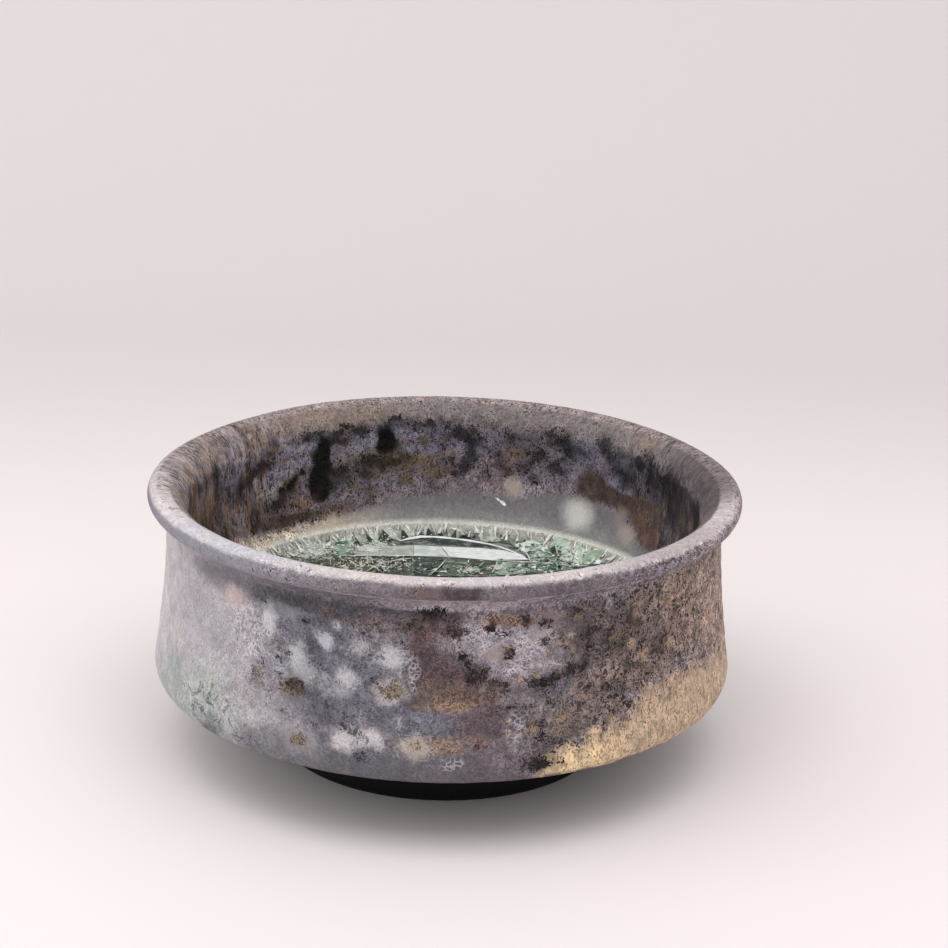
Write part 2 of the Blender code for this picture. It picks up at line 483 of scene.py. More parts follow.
# Where the bare golden clay begins on the right: azimuths, heights
GOLD_EDGE = (
    (15, 20, 27, 38, 45, 58, 74, 92, 110),
    (9, 13.4, 15.5, 16.8, 19.8, 20.4, 18.4, 16, 8),
)
# White lace: azimuth, height, half width, half height, raggedness, amount
LACE = (
    (-7.5, 28.0, 1.8, 2.0, 0.3, 0.9),
    (-4.9, 25.6, 1.3, 2.6, 0.3, 0.9),
    (14.5, 18.4, 1.2, 2.6, 0.3, 0.9),
    (3.2, 14.0, 1.6, 0.9, 0.3, 0.9),
    (-13, 30.5, 4.0, 1.8, 0.4, 0.4),
    (-21, 23.5, 4.0, 2.0, 0.4, 0.4),
    (-27, 17.5, 3.0, 1.6, 0.4, 0.4),
)
# Dark crackle: azimuth, height, half width, half height
CRACKLE = (
    (-52, 15.6, 6.5, 3.2),
    (-39.2, 13.6, 6.0, 1.6),
    (-47, 13, 3.4, 2.0),
)
# azimuths and heights, half sizes, colours, count
OUTSIDE_TUFTS = (
    ((8, 40, 17, 34), (0.5, 0.4), ((44, 36, 38), (60, 50, 50), (158, 136, 118), (158, 152, 158)), 130),
    ((36, 84, 20, 34), (0.7, 0.6), ((54, 45, 44), (74, 63, 60), (174, 152, 130)), 90),
    ((-36, -6, 14, 33), (0.7, 0.6), ((66, 64, 74), (76, 74, 84), (152, 150, 158)), 60),
    ((-30, 8, 31, 34), (1.0, 0.5), ((44, 38, 42), (100, 84, 84), (90, 76, 68)), 24),
)
# azimuth, height, half width, half height, colour, strength, raised by
DOTS = (
    (-43.4, 31.6, 2.1, 1.2, (196, 178, 175), 1.0, 0.03),
    (-34.1, 29.9, 0.9, 2.0, (202, 200, 206), 0.95, 0.04),
    (-30.8, 31.9, 3.2, 0.7, (150, 148, 157), 0.6, 0.0),
    (-27.4, 26.3, 1.0, 1.3, (192, 191, 197), 0.9, 0.04),
    (-26.0, 24.0, 1.7, 1.2, (172, 170, 176), 0.75, 0.02),
    (-21.5, 29.1, 0.85, 0.8, (196, 194, 202), 0.95, 0.04),
    (-14.4, 28.9, 0.9, 0.9, (182, 180, 188), 0.8, 0.04),
    (-8.7, 28.0, 1.4, 1.1, (200, 197, 201), 0.9, 0.04),
    (-16.9, 24.3, 1.3, 1.4, (192, 190, 196), 0.95, 0.04),
    (-18.6, 22.6, 2.0, 0.9, (146, 144, 151), 0.6, 0.0),
    (-4.4, 22.2, 1.1, 0.9, (68, 65, 74), 0.85, 0.0),
    (-26.0, 15.2, 2.1, 1.5, (166, 164, 170), 0.75, 0.03),
    (-17.1, 15.9, 1.5, 1.2, (202, 197, 199), 0.95, 0.04),
    (-11.9, 16.9, 1.45, 1.1, (202, 197, 199), 0.95, 0.04),
    (-4.1, 16.05, 1.8, 1.3, (190, 180, 172), 0.95, 0.04),
    (10.5, 28.6, 1.3, 1.0, (162, 140, 132), 0.7, 0.0),
    (18.6, 31.4, 1.5, 0.9, (160, 151, 155), 0.6, 0.0),
    (20.5, 33.4, 1.2, 0.8, (136, 118, 112), 0.6, 0.0),
)
# azimuth, height, half width, half height, colour, strength
OUTSIDE_STAINS = (
    (-28.4, 21.7, 1.75, 1.15, (96, 78, 62), 0.95),
    (-27.0, 22.7, 0.9, 0.7, (34, 26, 19), 1.0),
    (-36.3, 22.0, 0.95, 1.45, (108, 98, 84), 0.85),
    (-8.1, 23.5, 1.75, 1.35, (126, 112, 94), 0.95),
    (-26.0, 15.0, 1.45, 1.0, (116, 98, 82), 0.95),
    (-4.1, 16.1, 1.1, 0.75, (150, 130, 112), 0.8),
    (1.7, 16.2, 1.7, 0.9, (138, 116, 98), 0.7),
    (7.9, 16.4, 1.0, 0.7, (92, 66, 62), 0.7),
    (-0.3, 33.8, 2.3, 0.75, (30, 23, 26), 0.9),
    (3.4, 31.9, 1.3, 0.5, (42, 33, 36), 0.85),
    (4.7, 27.8, 1.0, 0.8, (46, 35, 39), 0.8),
    (7.0, 25.6, 1.4, 1.1, (34, 26, 29), 0.9),
    (10.5, 33.3, 2.0, 0.6, (132, 106, 92), 0.75),
    (14.5, 32.9, 1.6, 0.6, (126, 102, 90), 0.7),
    (9.6, 32.2, 0.6, 0.4, (50, 36, 36), 0.8),
    (16.3, 32.9, 0.6, 0.6, (52, 42, 42), 0.8),
    (20.0, 32.4, 0.7, 0.6, (44, 36, 38), 0.8),
    (13.3, 28.6, 0.7, 0.6, (52, 42, 38), 0.85),
    (20.2, 30.0, 0.6, 0.4, (52, 44, 46), 0.7),
    (26.5, 33.3, 1.3, 1.0, (58, 48, 48), 0.75),
    (29.0, 30.0, 1.3, 1.2, (52, 43, 44), 0.75),
    (24.6, 30.4, 1.0, 0.8, (92, 80, 70), 0.6),
    (19.8, 24.0, 1.6, 1.0, (46, 37, 40), 0.85),
    (24.6, 25.2, 2.2, 0.7, (52, 43, 46), 0.8),
    (28.6, 26.0, 0.8, 0.6, (40, 32, 34), 0.8),
    (14.6, 21.2, 2.0, 0.6, (62, 52, 52), 0.7),
    (11.6, 24.4, 1.5, 0.7, (66, 52, 50), 0.7),
    (19.8, 19.0, 1.6, 0.9, (70, 60, 62), 0.7),
    (22.4, 16.0, 1.8, 1.2, (60, 52, 56), 0.75),
    (18.6, 13.6, 2.2, 1.1, (40, 34, 34), 0.9),
    (24.0, 19.2, 1.3, 1.0, (146, 124, 104), 0.55),
    (4.1, 22.6, 4.4, 1.1, (110, 89, 77), 0.75),
    (1.6, 21.6, 2.2, 0.55, (160, 134, 112), 0.8),
    (5.6, 21.8, 1.6, 0.4, (150, 126, 106), 0.7),
    (9.3, 24.0, 1.5, 1.3, (98, 82, 74), 0.6),
    (34, 22, 3.0, 1.4, (58, 48, 48), 0.55),
    (38, 30, 3.0, 2.4, (62, 50, 50), 0.6),
    (33, 28, 2.4, 2.0, (64, 53, 53), 0.5),
    (46, 26, 4.0, 1.6, (64, 54, 52), 0.5),
)


def tint_grounds(skin, side, grounds):
    """The large zones of colour."""
    for a, h, wide, tall, soft, colour, strength in grounds:
        skin.tint(skin.patch(side, a, h, wide, tall, soft, 0.45), colour, strength)


def paint_gold(skin, out):
    """Bare golden clay under a slanting edge on the right, with a dark line along the keel."""
    z, azimuth = skin.z, skin.azimuth
    edge = np.interp(azimuth, *GOLD_EDGE)
    rough = 1.3 * skin.wobble(3.0) + 1.3 * skin.wobble(1.2) + 0.4 * skin.wobble(0.6)
    gold = ease(edge + rough - z, -1.5, 1.2) * out * (z > 10)
    skin.tint(gold, (182, 160, 137), 0.96)
    skin.tint(gold * hump(azimuth, 27, 13, 3), (212, 187, 148), 0.85)
    rim_dark = gold * ease(edge + 0.8 * rough - z, 2.2, 0.2)
    skin.tint(rim_dark, (134, 116, 102), 0.6)
    worn = gold * ease(skin.wobble(2.6) + 0.6 * skin.wobble(0.9), 0.35, 1.0)
    skin.tint(worn, (148, 128, 112), 0.5)
    keel_line = out * hump(z, 10.9, 0.8, 0.2) * ease(azimuth, 15, 22) * (1 - ease(azimuth, 36, 62))
    skin.tint(keel_line * ease(skin.wobble(1.2), -0.5, 0.3), (52, 44, 42), 0.75)
    return gold


def grain_outside(skin, out, gold):
    """How stippled, milky, hairy, glossy and many-coloured the glaze is in each zone."""
    z, azimuth = skin.z, skin.azimuth
    skin.set_grain(out, stipple=0.40 + 0.08 * skin.wobble(2.6), frost=0.16, hue=0.2, gloss=0.3)
    before_back = 1 - ease(azimuth, 110, 150)
    right = ease(azimuth, 8, 26) * before_back * out
    skin.set_grain(right, stipple=0.66 + 0.14 * skin.wobble(3.0), hue=0.45, frost=0.12)
    far_right = ease(azimuth, 26, 38) * before_back * out
    skin.set_grain(far_right, stipple=0.98, frost=0.0, fur=0.2)
    skin.set_grain(skin.patch(OUT, 18, 29, 7, 5, 0.5), stipple=0.38)
    skin.set_grain(gold, stipple=0.36, hue=0.15, fur=0.5)
    pale = skin.patch(OUT, -82, 26, 31, 40, 0.25)
    skin.set_grain(pale, stipple=0.16, hue=0.1, frost=0.06, gloss=0.6)
    skin.set_grain(pale * ease(-azimuth, 46, 64), fur=0.6)
    cloud = skin.patch(OUT, -20, 24, 15, 12, 0.3)
    skin.set_grain(cloud, frost=0.22, stipple=0.42, hue=0.2, gloss=0.45)
    skin.set_grain(skin.patch(OUT, -38, 16, 12, 7.5, 0.5), stipple=0.22)
    plain = out * (1 - ease(z + 0.5 * skin.wobble(2.6), 13.6, 15.4))
    plain = plain * (1 - ease(azimuth, 6, 16)) * ease(azimuth, -34, -26)
    skin.set_grain(plain, frost=0.0, stipple=0.2)
    skin.set_grain(skin.patch(OUT, -16, 33.4, 12, 2.6, 0.4), frost=0.1)
    skin.set_grain(skin.patch(OUT, 2, 28.5, 6, 5, 0.4), frost=0.1, stipple=0.5, hue=0.35)
    skin.set_grain(gold, gloss=0.1)
    for a, h, wide, tall, wobble, amount in LACE:
        skin.set_grain(skin.patch(OUT, a, h, wide, tall, 0.5, wobble, 1.2), lace=amount)
    for a, h, wide, tall in CRACKLE:
        skin.set_grain(skin.patch(OUT, a, h, wide, tall, 0.4, 0.35, 3.0), crackle=1.0)


def paint_outside(skin):
    """The wall and the keel, as the photo shows them from azimuth -85 to 85, and plainer behind."""
    out = (skin.side == OUT).astype(float)
    skin.tint(out, (104, 98, 106))
    tint_grounds(skin, OUT, OUTSIDE_GROUNDS)
    # Uneven clouds and blotches within each zone
    skin.ground *= (1 + 0.16 * skin.wobble(2.6) + 0.1 * skin.wobble(0.9))[:, None]
    gold = paint_gold(skin, out)
    grain_outside(skin, out, gold)
    # Many small dark and pale stains, most of them on the right
    for seed, tufts in enumerate(OUTSIDE_TUFTS, 21):
        scatter_tufts(skin, OUT, *tufts, seed)
    for a, h, wide, tall, colour, strength, raised in DOTS:
        mask = skin.patch(OUT, a, h, wide * 1.15, tall * 1.15, 0.6, 0.35, 1.2)
        skin.tint(mask, colour, strength)
        skin.set_grain(mask, stipple=0.12)
        skin.relief += raised * mask
    # The pale ring about a bare olive spot
    halo = skin.near(OUT, -8.6, 23.3, 2.2, 1.8, 0.3, 1.2)
    skin.tint(inside_mask(halo, 0.35), (184, 182, 189), 0.85)
    skin.set_grain(inside_mask(halo, 0.5), stipple=0.2)
    scatter_spots(skin, OUT, OUTSIDE_STAINS, 11)


# azimuth, height, half width, half height, softness, colour, strength
INSIDE_GROUNDS = (
    (-108, 30, 16, 9, 0.4, (48, 39, 40), 0.95),
    (-104, 27, 8, 5, 0.5, (62, 49, 43), 0.8),
    (-120, 34, 3.8, 2.8, 0.5, (98, 93, 103), 0.85),
    (-129, 29.4, 3.6, 3.2, 0.5, (112, 108, 112), 0.85),
    (-122, 26, 3.0, 2.5, 0.5, (96, 86, 84), 0.7),
    (-139, 33, 6, 4, 0.5, (108, 104, 117), 0.95),
    (-156, 32.4, 5, 3.0, 0.5, (108, 105, 119), 0.9),
    (-164, 30.4, 8, 1.8, 0.5, (84, 74, 64), 0.8),
    (-172, 30.2, 7, 1.8, 0.5, (96, 84, 74), 0.8),
    (-176, 34, 7, 2, 0.5, (100, 98, 114), 0.8),
    (-160, 27.6, 12, 1.8, 0.5, (84, 78, 84), 0.8),
    (180, 28.4, 9, 2.4, 0.5, (80, 73, 78), 0.8),
    (170, 33, 5, 2.0, 0.5, (84, 81, 93), 0.8),
    (160, 33, 7, 3, 0.5, (82, 75, 82), 0.8),
    (154, 29.5, 5, 2.4, 0.5, (84, 78, 85), 0.8),
    (146, 32, 7, 4, 0.5, (84, 79, 90), 0.8),
    (125, 32, 9, 5, 0.5, (58, 52, 60), 0.9),
    (112, 36, 9, 2.2, 0.5, (82, 76, 86), 0.7),
    (104, 31, 10, 7, 0.5, (34, 29, 33), 0.95),
    (167, 27.0, 11, 1.3, 0.5, (108, 99, 108), 0.6),
    (20, 30, 20, 7, 0.5, (86, 78, 84), 0.8),
    (-40, 32, 14, 5, 0.5, (96, 92, 102), 0.8),
    (60, 29, 12, 7, 0.5, (78, 68, 70), 0.8),
)
# How far up the smooth glaze reaches all round: azimuths, heights
RUN_LIMIT = (
    (0, 90, 116, 124, 134, 150, 165, 180, 200, 212, 226, 240, 270, 360),
    (24, 23, 24, 23, 26, 26.5, 25.4, 25.2, 23.6, 22.2, 21.4, 21.4, 23, 24),
)
# azimuths and heights, half sizes, colours, count
INSIDE_TUFTS = (
    ((-130, -76, 24, 35), (0.6, 1.6), ((30, 23, 23), (40, 31, 30), (100, 81, 66), (84, 81, 93)), 130),
    ((-140, -60, 35, 39), (0.8, 0.9), ((88, 78, 76), (158, 142, 130), (150, 142, 148)), 90),
    ((84, 132, 24, 35), (0.7, 1.5), ((20, 15, 18), (30, 24, 28), (70, 64, 70), (88, 76, 66)), 110),
    ((128, 180, 28, 36), (1.0, 0.8), ((38, 32, 38), (52, 46, 52), (104, 100, 114)), 90),
    ((-180, -132, 26, 36), (1.0, 0.8), ((50, 42, 42), (66, 58, 58), (112, 110, 126), (92, 80, 66)), 80),
)
BLACK = (16, 13, 15)
# start, end, half width at both, colour
DRIPS = (
    ((-148.0, 34.0), (-146.6, 27.0), (1.2, 2.1), BLACK),
    ((-164.4, 34.6), (-164.7, 33.2), (1.3, 1.8), BLACK),
    ((174.6, 33.4), (174.5, 31.0), (0.7, 1.1), (24, 20, 23)),
    ((-140.1, 29.8), (-138.2, 28.4), (0.4, 0.9), BLACK),
    ((-141.8, 30.5), (-142.1, 29.9), (0.35, 0.3), BLACK),
    ((-135.6, 28.1), (-134.8, 28.1), (0.5, 0.5), BLACK),
    ((-135.2, 26.6), (-133.4, 26.2), (0.9, 0.8), (34, 27, 26)),
    ((-131.5, 33.4), (-128.0, 32.4), (1.3, 1.0), (30, 22, 21)),
    ((-125.5, 31.8), (-121.5, 30.6), (0.9, 1.3), (34, 25, 24)),
    ((112.0, 34.0), (110.0, 31.0), (2.2, 2.6), (20, 15, 18)),
    ((96.0, 33.5), (95.0, 29.5), (1.8, 1.5), (20, 15, 18)),
    ((150.5, 34.8), (148.8, 33.4), (1.6, 1.2), (22, 17, 22)),
    ((146.0, 34.2), (145.4, 33.8), (0.8, 0.6), (30, 24, 30)),
    ((138.6, 36.2), (137.5, 34.8), (1.4, 1.0), (22, 17, 21)),
    ((134.7, 33.6), (132.5, 32.0), (1.7, 1.4), (20, 16, 20)),
    ((130.0, 33.6), (129.0, 32.6), (0.9, 0.7), (30, 25, 30)),
    ((124.3, 35.3), (121.0, 33.4), (1.7, 1.5), (20, 15, 18)),
    ((117.0, 34.0), (116.0, 32.6), (0.9, 1.0), (26, 20, 24)),
    ((20, 33.5), (20, 28), (1.1, 1.7), BLACK),
    ((-30, 33.5), (-31, 30), (1.3, 1.2), BLACK),
    ((62, 34), (62, 30), (0.9, 1.4), (28, 22, 24)),
)
# azimuth, height, half width, half height, colour, strength
INSIDE_STAINS = (
    (-153.6, 28.4, 2.6, 1.6, (50, 41, 28), 1.0),
    (-161.5, 30.2, 2.4, 1.5, (44, 36, 26), 1.0),
    (-168.0, 30.0, 3.2, 1.2, (66, 56, 46), 0.75),
    (-160.0, 25.6, 0.6, 2.2, (70, 57, 44), 0.75),
    (-174.1, 29.9, 1.4, 1.1, (96, 82, 66), 0.6),
    (-141.3, 25.0, 2.2, 1.1, (96, 74, 56), 0.7),
    (-134.0, 25.8, 1.8, 1.0, (54, 44, 38), 0.8),
    (-130.4, 23.2, 3.2, 0.9, (74, 58, 50), 0.8),
    (-143.5, 23.2, 4.0, 0.9, (66, 51, 44), 0.85),
    (-137.0, 23.4, 3.6, 0.8, (72, 57, 50), 0.75),
    (-153.1, 23.6, 3.2, 0.9, (78, 65, 60), 0.8),
    (163.4, 30.8, 2.0, 2.0, (74, 60, 58), 0.75),
    (163.2, 32.1, 1.0, 0.8, (106, 86, 72), 0.65),
    (157.0, 32.0, 1.2, 1.4, (58, 47, 46), 0.6),
    (-107.2, 31.4, 1.2, 3.0, (124, 100, 80), 0.5),
    (-98.0, 27.6, 1.4, 3.4, (128, 104, 82), 0.5),
    (-145.0, 35.6, 3.0, 0.8, (38, 30, 32), 0.8),
    (-151.0, 34.8, 1.0, 0.9, (44, 36, 40), 0.7),
    (-156.5, 35.9, 2.4, 0.8, (40, 32, 34), 0.8),
    (-168.5, 36.1, 3.0, 0.8, (40, 32, 34), 0.8),
    (-176.5, 35.6, 1.2, 0.9, (48, 40, 42), 0.7),
    (175.6, 34.6, 1.6, 1.2, (48, 39, 42), 0.75),
    (153.0, 36.0, 2.4, 0.8, (58, 50, 56), 0.6),
)
# Two velvety brown tongues: azimuth, height, half width, half height, colour
TONGUES = (
    (141.5, 29.0, 3.2, 2.3, (54, 40, 37)),
    (136.0, 28.2, 2.4, 1.6, (55, 42, 39)),
    (130.8, 28.0, 2.4, 1.4, (58, 44, 40)),
    (123.8, 28.2, 4.3, 2.2, (64, 50, 44)),
    (122.6, 26.3, 3.8, 2.1, (72, 55, 48)),
    (120.4, 24.6, 2.6, 1.9, (74, 56, 49)),
)
# Glaze that gathered in thick drops: azimuth, height, half width, half height, colour, strength
GATHERED_GLAZE = (
    (163.2, 26.4, 1.6, 1.4, (160, 151, 140), 0.9),
    (145.0, 24.2, 2.4, 2.0, (190, 187, 183), 0.95),
    (131.5, 25.4, 1.6, 1.6, (136, 126, 120), 0.6),
    (128.5, 23.6, 1.6, 1.4, (160, 152, 144), 0.7),
)
# Worn brown places on the flare: azimuth, height, half width, half height
WORN = (
    (-147, 39.0, 5.0, 1.2),
    (-160, 38.0, 3.0, 1.0),
    (172, 39.2, 1.6, 0.6),
    (128, 38.4, 2.2, 1.0),
)
# Short pale scratches: from, to
SCRATCHES = (
    ((167.8, 24.7), (165.0, 23.3)),
    ((166.2, 24.4), (164.4, 23.6)),
    ((163.8, 23.3), (162.8, 23.0)),
)


def paint_run_down(skin, inner):
    """Smooth pale glaze that ran down towards the glass, and a paler band just above it."""
    z = skin.z
    limit = np.interp(skin.azimuth % 360, *RUN_LIMIT)
    run_down = ease(limit + 0.7 * skin.wobble(4.0) + 0.7 * skin.wobble(1.2) - z, -0.9, 0.9) * inner
    skin.tint(run_down, (108, 104, 107))
    whiter = ease(22.4 + 0.8 * skin.wobble(4.0) - z, -1.4, 1.2) * inner
    skin.tint(whiter, (120, 121, 119), 0.9)
    skin.tint(whiter * hump(skin.off(-138), 0, 32, 10), (172, 160, 142), 0.9)
    # A narrow band, paler still, just above the glass
    skin.tint(ease(20.9 - z, -0.3, 0.3) * inner, (204, 204, 194), 0.8)
    skin.tint(ease(17.5 - z, -0.5, 1.0) * inner, (150, 160, 146))
    return run_down


def paint_flare(skin, inner):
    """The dry flare under the lip."""
    flare = ease(skin.z + 0.6 * skin.wobble(4.0) + 0.7 * skin.wobble(1.2), 35.2, 37.8) * inner
    skin.tint(flare, (120, 112, 111))
    skin.tint(flare * hump(skin.off(-140), 0, 35, 8), (146, 131, 122), 0.75)
    skin.tint(flare * hump(skin.off(-90), 0, 34, 8), (140, 130, 132), 0.85)
    skin.tint(flare * hump(skin.off(95), 0, 40, 8), (79, 72, 74), 0.9)
    skin.tint(flare * hump(skin.off(-122), 0, 20, 6), (108, 94, 87), 0.8)
    for a, h, wide, tall in WORN:
        skin.tint(skin.patch(IN, a, h, wide, tall, 0.6, 0.5, 1.2), (130, 110, 98), 0.5)
    return flare


def grain_inside(skin, inner, run_down, flare):
    """The same for the zones of the bowl."""
    left_fur = inner * (1 - ease(np.abs(skin.off(-100)), 20, 46))
    right_fur = inner * (1 - ease(np.abs(skin.off(98)), 22, 46))
    combed = np.maximum(left_fur, right_fur)
    skin.set_grain(inner, stipple=0.72 + 0.12 * skin.wobble(3.0), frost=0.16, hue=0.6, fur=0.25, gloss=0.3)
    skin.set_grain(combed, fur=0.75 + 0.25 * skin.wobble(4.0), stipple=0.9)
    skin.set_grain(left_fur, hue=1.0)
    skin.set_grain(flare, stipple=0.34, frost=0.1, hue=0.35)
    skin.set_grain(flare * left_fur, stipple=0.6)
    skin.set_grain(run_down, stipple=0.12, frost=0.04, hue=0.06, fur=0.0, gloss=0.75)
    skin.set_grain(flare, gloss=0.1)


def paint_drips(skin):
    """Thick black drips stand out a little; the others have soaked in."""
    for start, end, wide, colour in DRIPS:
        if colour == BLACK:
            far = skin.near_line(IN, start, end, wide, 0.25, 1.2)
            skin.tint(inside_mask(far, 0.8), (30, 25, 27))
            skin.put(inside_mask(far, 0.45), colour, 1.0, 0.1, 0.95)
        else:
            far = skin.near_line(IN, start, end, wide, 0.45, 1.2)
            skin.tint(inside_mask(far, 1.0), colour, 0.8)
            skin.put(inside_mask(far, 0.9), colour, 0.65)


def paint_inside(skin):
    """The bowl, as the photo shows its far half, and plainer in front."""
    inner = (skin.side == IN).astype(float)
    skin.tint(inner, (90, 82, 88))
    tint_grounds(skin, IN, INSIDE_GROUNDS)
    uneven = 1 + 0.2 * skin.wobble(2.6) + 0.14 * skin.wobble(0.9)
    skin.ground *= np.where(inner > 0, uneven, 1)[:, None]
    run_down = paint_run_down(skin, inner)
    flare = paint_flare(skin, inner)
    grain_inside(skin, inner, run_down, flare)
    # Tufts where the ash was combed down the wall, and dark clusters on the right
    for seed, tufts in enumerate(INSIDE_TUFTS, 31):
        scatter_tufts(skin, IN, *tufts, seed)
    paint_drips(skin)
    scatter_spots(skin, IN, INSIDE_STAINS, 12)
    for a, h, wide, tall, colour in TONGUES:
        far = skin.near(IN, a, h, wide, tall, 0.12, 2.0)
        skin.tint(inside_mask(far, 0.25), colour)
        skin.set_grain(inside_mask(far, 0.3), stipple=0.34, fur=0.6)
        skin.mark_amount *= 1 - inside_mask(far, 0.4)
    for a, h, wide, tall, colour, strength in GATHERED_GLAZE:
        far = skin.near(IN, a, h, wide, tall, 0.25, 2.0)
        skin.tint(inside_mask(far, 0.6), colour, strength)
        skin.set_grain(inside_mask(far, 0.6), stipple=0.03)
        skin.mark_amount *= 1 - inside_mask(far, 0.4)
    for start, end in SCRATCHES:
        far = skin.near_line(IN, start, end, (0.11, 0.07), 0.05, 1.2)
        skin.put(inside_mask(far, 0.8), (206, 204, 204), 0.95)


def paint_lip(skin):
    """Over the crest and down the rolled edge to the crease."""
    z, azimuth, out = skin.z, skin.azimuth, (skin.side == OUT).astype(float)
    crest = ease(z + 0.12 * skin.wobble(1.2) + 0.1 * skin.wobble(2.6), 38.65, 39.25) * (skin.radius > 39.4)
    front = hump(azimuth, 0, 100, 62)
    face = out * ease(z, 36.5, 37.1) * (1 - ease(z, 38.5, 39.2))
    skin.tint(face, (120, 112, 119), 0.95)
    skin.tint(face * hump(azimuth, -50, 38, 10), (146, 144, 154), 0.9)
    skin.tint(face * hump(azimuth, -2, 5, 1), (102, 82, 78), 0.9)
    skin.tint(face * hump(azimuth, 4, 4.5, 2.5), (72, 60, 63), 0.95)
    skin.tint(face * hump(azimuth, 22, 10, 3), (106, 99, 105), 0.8)
    skin.tint(face * hump(azimuth, 80, 36, 14), (150, 139, 142), 0.8)
    skin.tint(crest * front, (214, 205, 205), 0.97)
    skin.tint(crest * front * hump(azimuth, -45, 30, 8), (200, 200, 208), 0.7)
    skin.tint(crest * front * hump(azimuth, 50, 26, 6), (170, 160, 163), 0.7)
    skin.set_grain(crest * front, stipple=0.16, frost=0.3, hue=0.2)
    below = out * hump(z, 35.6, 1.2, 0.7)
    skin.tint(below * hump(azimuth, 4, 22, 6), (178, 168, 174), 0.9)
    # Partly slate glaze and partly painted shade: a darker grey band along the front under the lip's overhang
    skin.tint(below * hump(azimuth, 0, 70, 40), (118, 112, 119), 0.4)
    # A painted highlight: a thin pale line along the front where the rolled lip turns under
    painted_crease_highlight = out * hump(z, 36.6, 0.3, 0.1) * front
    skin.tint(painted_crease_highlight, (188, 178, 180), 0.6)
    groove = out * hump(z, 36.5, 0.35, 0.15) * hump(azimuth, 11.4, 3.6, 2)
    skin.tint(groove, (74, 58, 50), 0.7)
    back = ease(np.abs(azimuth), 82, 118)
    whole = np.maximum(crest, face)
    skin.tint(whole * back, (134, 123, 122), 0.9)
    skin.tint(whole * hump(azimuth, 108, 34, 10), (112, 102, 104), 0.85)
    skin.set_grain(whole, gloss=0.15)
    skin.set_grain(face, fur=0.0, stipple=0.3)
    skin.set_grain(face * ease(-azimuth, 22, 40), stipple=0.14)
    skin.set_grain(face * ease(azimuth, 20, 50), stipple=0.7)
    skin.set_grain(crest * back, stipple=0.62)


def paint_under(skin):
    """The unglazed foot, black and matt, and the plain glaze under the keel."""
    out = (skin.side == OUT).astype(float)
    under = out * ease(-skin.z, -11.4, -10.4)
    skin.tint(under, (78, 73, 80), 0.85)
    skin.tint(under * ease(-skin.radius, -37, -28), (44, 41, 45), 0.9)
    skin.set_grain(under, frost=0.1)
    foot = out * (1 - ease(skin.radius, 25.6, 27.6)) * ease(-skin.z, -8, -6)
    skin.tint(foot, (13, 12, 14))
    skin.set_grain(foot, **dict.fromkeys(GRAINS, 0.0))
    skin.mark_amount *= 1 - foot


def shape_skin(skin):
    """Moves points a little, as a thrower's hands and a thick glaze do. What lies under the glass stays."""
    z, azimuth = skin.z, skin.azimuth
    back = np.minimum(np.abs(azimuth - 180), np.abs(azimuth + 180))
    high = ease(z, 26, 38)
    dips = 0.2 * np.exp(-(((np.abs(azimuth) - 118) / 22) ** 2))
    lift = -0.05 + 0.05 * np.exp(-((back / 30) ** 2)) - dips
    sway = 0.12 * np.sin(np.radians(2 * azimuth + 40)) * ease(z, 14, 24)
    rings = 0.035 * np.sin(z * 2.1 + 0.8 * np.sin(np.radians(azimuth + 20)))
    rings = rings * (skin.side == OUT) * ease(z, 12, 15)
    lumps = 0.05 * skin.wobble(4.0) + 0.02 * skin.wobble(1.2)
    free = np.maximum(ease(z, 20.8, 22.5), (skin.side == OUT) * ease(z, 7, 9))
    outward = (skin.relief + rings + lumps) * free
    outward = np.where(skin.radius > 41.0, np.minimum(outward, 0) - 0.05, outward)
    sway = np.where(skin.radius > 41.0, np.minimum(sway, 0), sway)
    radius = skin.radius + skin.out_r * outward + sway * free
    height = skin.z + skin.out_z * outward + lift * high
    height = np.minimum(np.where(free > 0, height, skin.z), HEIGHT - 0.01)
    return np.stack([radius * np.sin(skin.angle), -radius * np.cos(skin.angle), height], 1)


# Meshes


def lathe_faces(rows, turns):
    """Quads between rings, and triangles to the two end points, which are the last two vertices."""
    ring = np.arange(turns)
    step = np.roll(ring, -1)
    faces = []
    for row in range(rows - 1):
        low, high = row * turns, (row + 1) * turns
        faces.append(np.stack([low + ring, high + ring, high + step, low + step], 1))
    quads = np.concatenate(faces).tolist()
    first, last = rows * turns, rows * turns + 1
    start = np.stack([np.full(turns, first), ring, step], 1).tolist()
    final = (rows - 1) * turns
    end = np.stack([np.full(turns, last), final + step, final + ring], 1).tolist()
    return quads + start + end


def make_object(name, points, faces, material, smooth=True):
    """A mesh object from points in millimetres."""
    mesh = bpy.data.meshes.new(name)
    mesh.from_pydata((np.asarray(points) * MM).tolist(), [], faces)
    mesh.materials.append(material)
    mesh.polygons.foreach_set("use_smooth", [smooth] * len(mesh.polygons))
    mesh.update()
    piece = bpy.data.objects.new(name, mesh)
    bpy.context.scene.collection.objects.link(piece)
    return piece


def store(mesh, name, kind, values):
    attribute = mesh.attributes.new(name, kind, "POINT")
    key = "color" if kind == "FLOAT_COLOR" else "vector"
    attribute.data.foreach_set(key, np.ascontiguousarray(values, np.float32).ravel())


# The broken glass


def clip(polygon, point, normal):
    """The part of a flat polygon that lies behind a line."""
    kept = []
    for (ax, ay), (bx, by) in zip(polygon, polygon[1:] + polygon[:1]):
        a = (ax - point[0]) * normal[0] + (ay - point[1]) * normal[1]
        b = (bx - point[0]) * normal[0] + (by - point[1]) * normal[1]
        if a <= 0:
            kept.append((ax, ay))
        if a * b < 0:
            t = a / (a - b)
            kept.append((ax + t * (bx - ax), ay + t * (by - ay)))
    return kept


# How far a cell can reach from its seed, and how many of the nearest seeds can bound it
CELL_REACH = 9
NEIGHBOURS = 21


